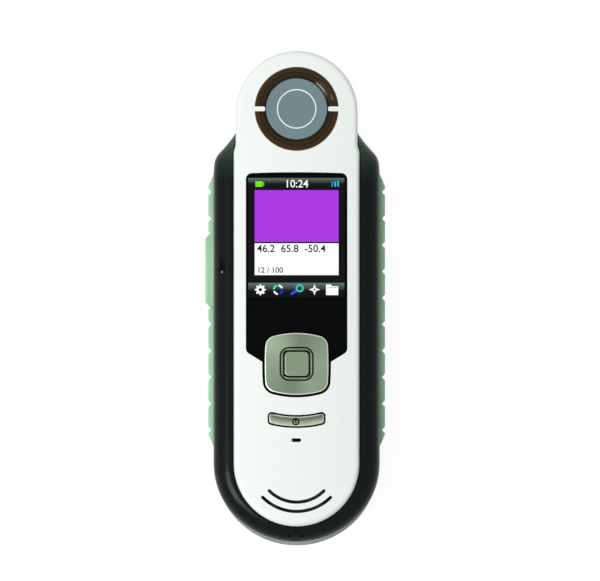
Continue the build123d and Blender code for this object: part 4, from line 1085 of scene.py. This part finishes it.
def studio_floor():
    """Floor that looks white to the camera and keeps the shadow of the device."""
    bm = bmesh.new()
    bmesh.ops.create_grid(bm, x_segments=4, y_segments=4, size=FLOOR_REACH)
    mesh = mesh_from(bm, "floor")
    obj = bpy.data.objects.new("floor", mesh)
    scene.collection.objects.link(obj)
    material = bpy.data.materials.new("floor_white")
    material.use_nodes = True
    tree = material.node_tree
    tree.nodes.remove(tree.nodes["Principled BSDF"])
    diffuse = tree.nodes.new("ShaderNodeBsdfDiffuse")
    diffuse.inputs["Color"].default_value = (FLOOR_GREY, FLOOR_GREY, FLOOR_GREY, 1)
    glow = tree.nodes.new("ShaderNodeEmission")
    glow.inputs["Color"].default_value = (1, 1, 1, 1)
    seen = tree.nodes.new("ShaderNodeMath")
    seen.operation = "MULTIPLY"
    seen.inputs[1].default_value = FLOOR_GLOW
    tree.links.new(background_rays(tree), seen.inputs[0])
    tree.links.new(seen.outputs[0], glow.inputs["Strength"])
    both = tree.nodes.new("ShaderNodeAddShader")
    tree.links.new(diffuse.outputs[0], both.inputs[0])
    tree.links.new(glow.outputs[0], both.inputs[1])
    tree.links.new(both.outputs[0], tree.nodes["Material Output"].inputs["Surface"])
    mesh.materials.append(material)


def studio_world():
    """Even light from all round, which looks white where the camera, gloss or glass sees it."""
    world = bpy.data.worlds.new("studio")
    scene.world = world
    world.use_nodes = True
    tree = world.node_tree
    background = tree.nodes["Background"]
    background.inputs["Color"].default_value = (1, 1, 1, 1)
    strength = tree.nodes.new("ShaderNodeMapRange")
    strength.inputs["To Min"].default_value = WORLD_LIGHT
    strength.inputs["To Max"].default_value = WORLD_SEEN
    tree.links.new(background_rays(tree), strength.inputs["Value"])
    tree.links.new(strength.outputs["Result"], background.inputs["Strength"])


def lamp(name, azimuth, tilt, reach, wide, tall, power, mirrored=False):
    """A soft box that looks at the face. Azimuth turns from +X, tilt is from straight up, both in degrees."""
    data = bpy.data.lights.new(name, "AREA")
    data.shape = "RECTANGLE"
    data.size = wide
    data.size_y = tall
    data.energy = power
    obj = bpy.data.objects.new(name, data)
    scene.collection.objects.link(obj)
    turn = math.radians(azimuth)
    lean = math.radians(tilt)
    away = Vector((math.sin(lean) * math.cos(turn), math.sin(lean) * math.sin(turn), math.cos(lean)))
    tangent = Vector((-math.sin(turn), math.cos(turn), 0))
    obj.location = away * reach + Vector((0, 0, LAMP_AIM))
    obj.rotation_mode = "QUATERNION"
    obj.rotation_quaternion = Matrix((tangent, away.cross(tangent), away)).transposed().to_quaternion()
    obj.visible_glossy = mirrored


studio_floor()
studio_world()
lamp("left_panel", azimuth=180, tilt=38, reach=1.07, wide=1.1, tall=0.62, power=3.3)
lamp("ring_lamp", azimuth=213, tilt=31, reach=1.07, wide=0.44, tall=0.035, power=2.6, mirrored=True)
lamp("band_lamp", azimuth=208, tilt=44, reach=1.0, wide=0.30, tall=0.14, power=2.2, mirrored=True)
lamp("right_top_lamp", azimuth=30, tilt=57, reach=0.85, wide=0.30, tall=0.12, power=0.6)
lamp("head_panel", azimuth=84, tilt=56, reach=0.99, wide=0.60, tall=0.24, power=2.1)
lamp("tail_lamp", azimuth=263, tilt=62, reach=0.91, wide=0.50, tall=0.15, power=0.6)

camera_data = bpy.data.cameras.new("camera")
camera_data.sensor_width = SENSOR_WIDTH
camera_data.lens = SENSOR_WIDTH * CAMERA_DISTANCE / (FRAME_WIDTH * PIXEL)
camera_data.clip_end = CAMERA_CLIP_END
camera = bpy.data.objects.new("camera", camera_data)
camera.location = (*place(FRAME_WIDTH / 2, FRAME_HEIGHT / 2), FACE_TOP + CAMERA_DISTANCE)
scene.collection.objects.link(camera)
scene.camera = camera
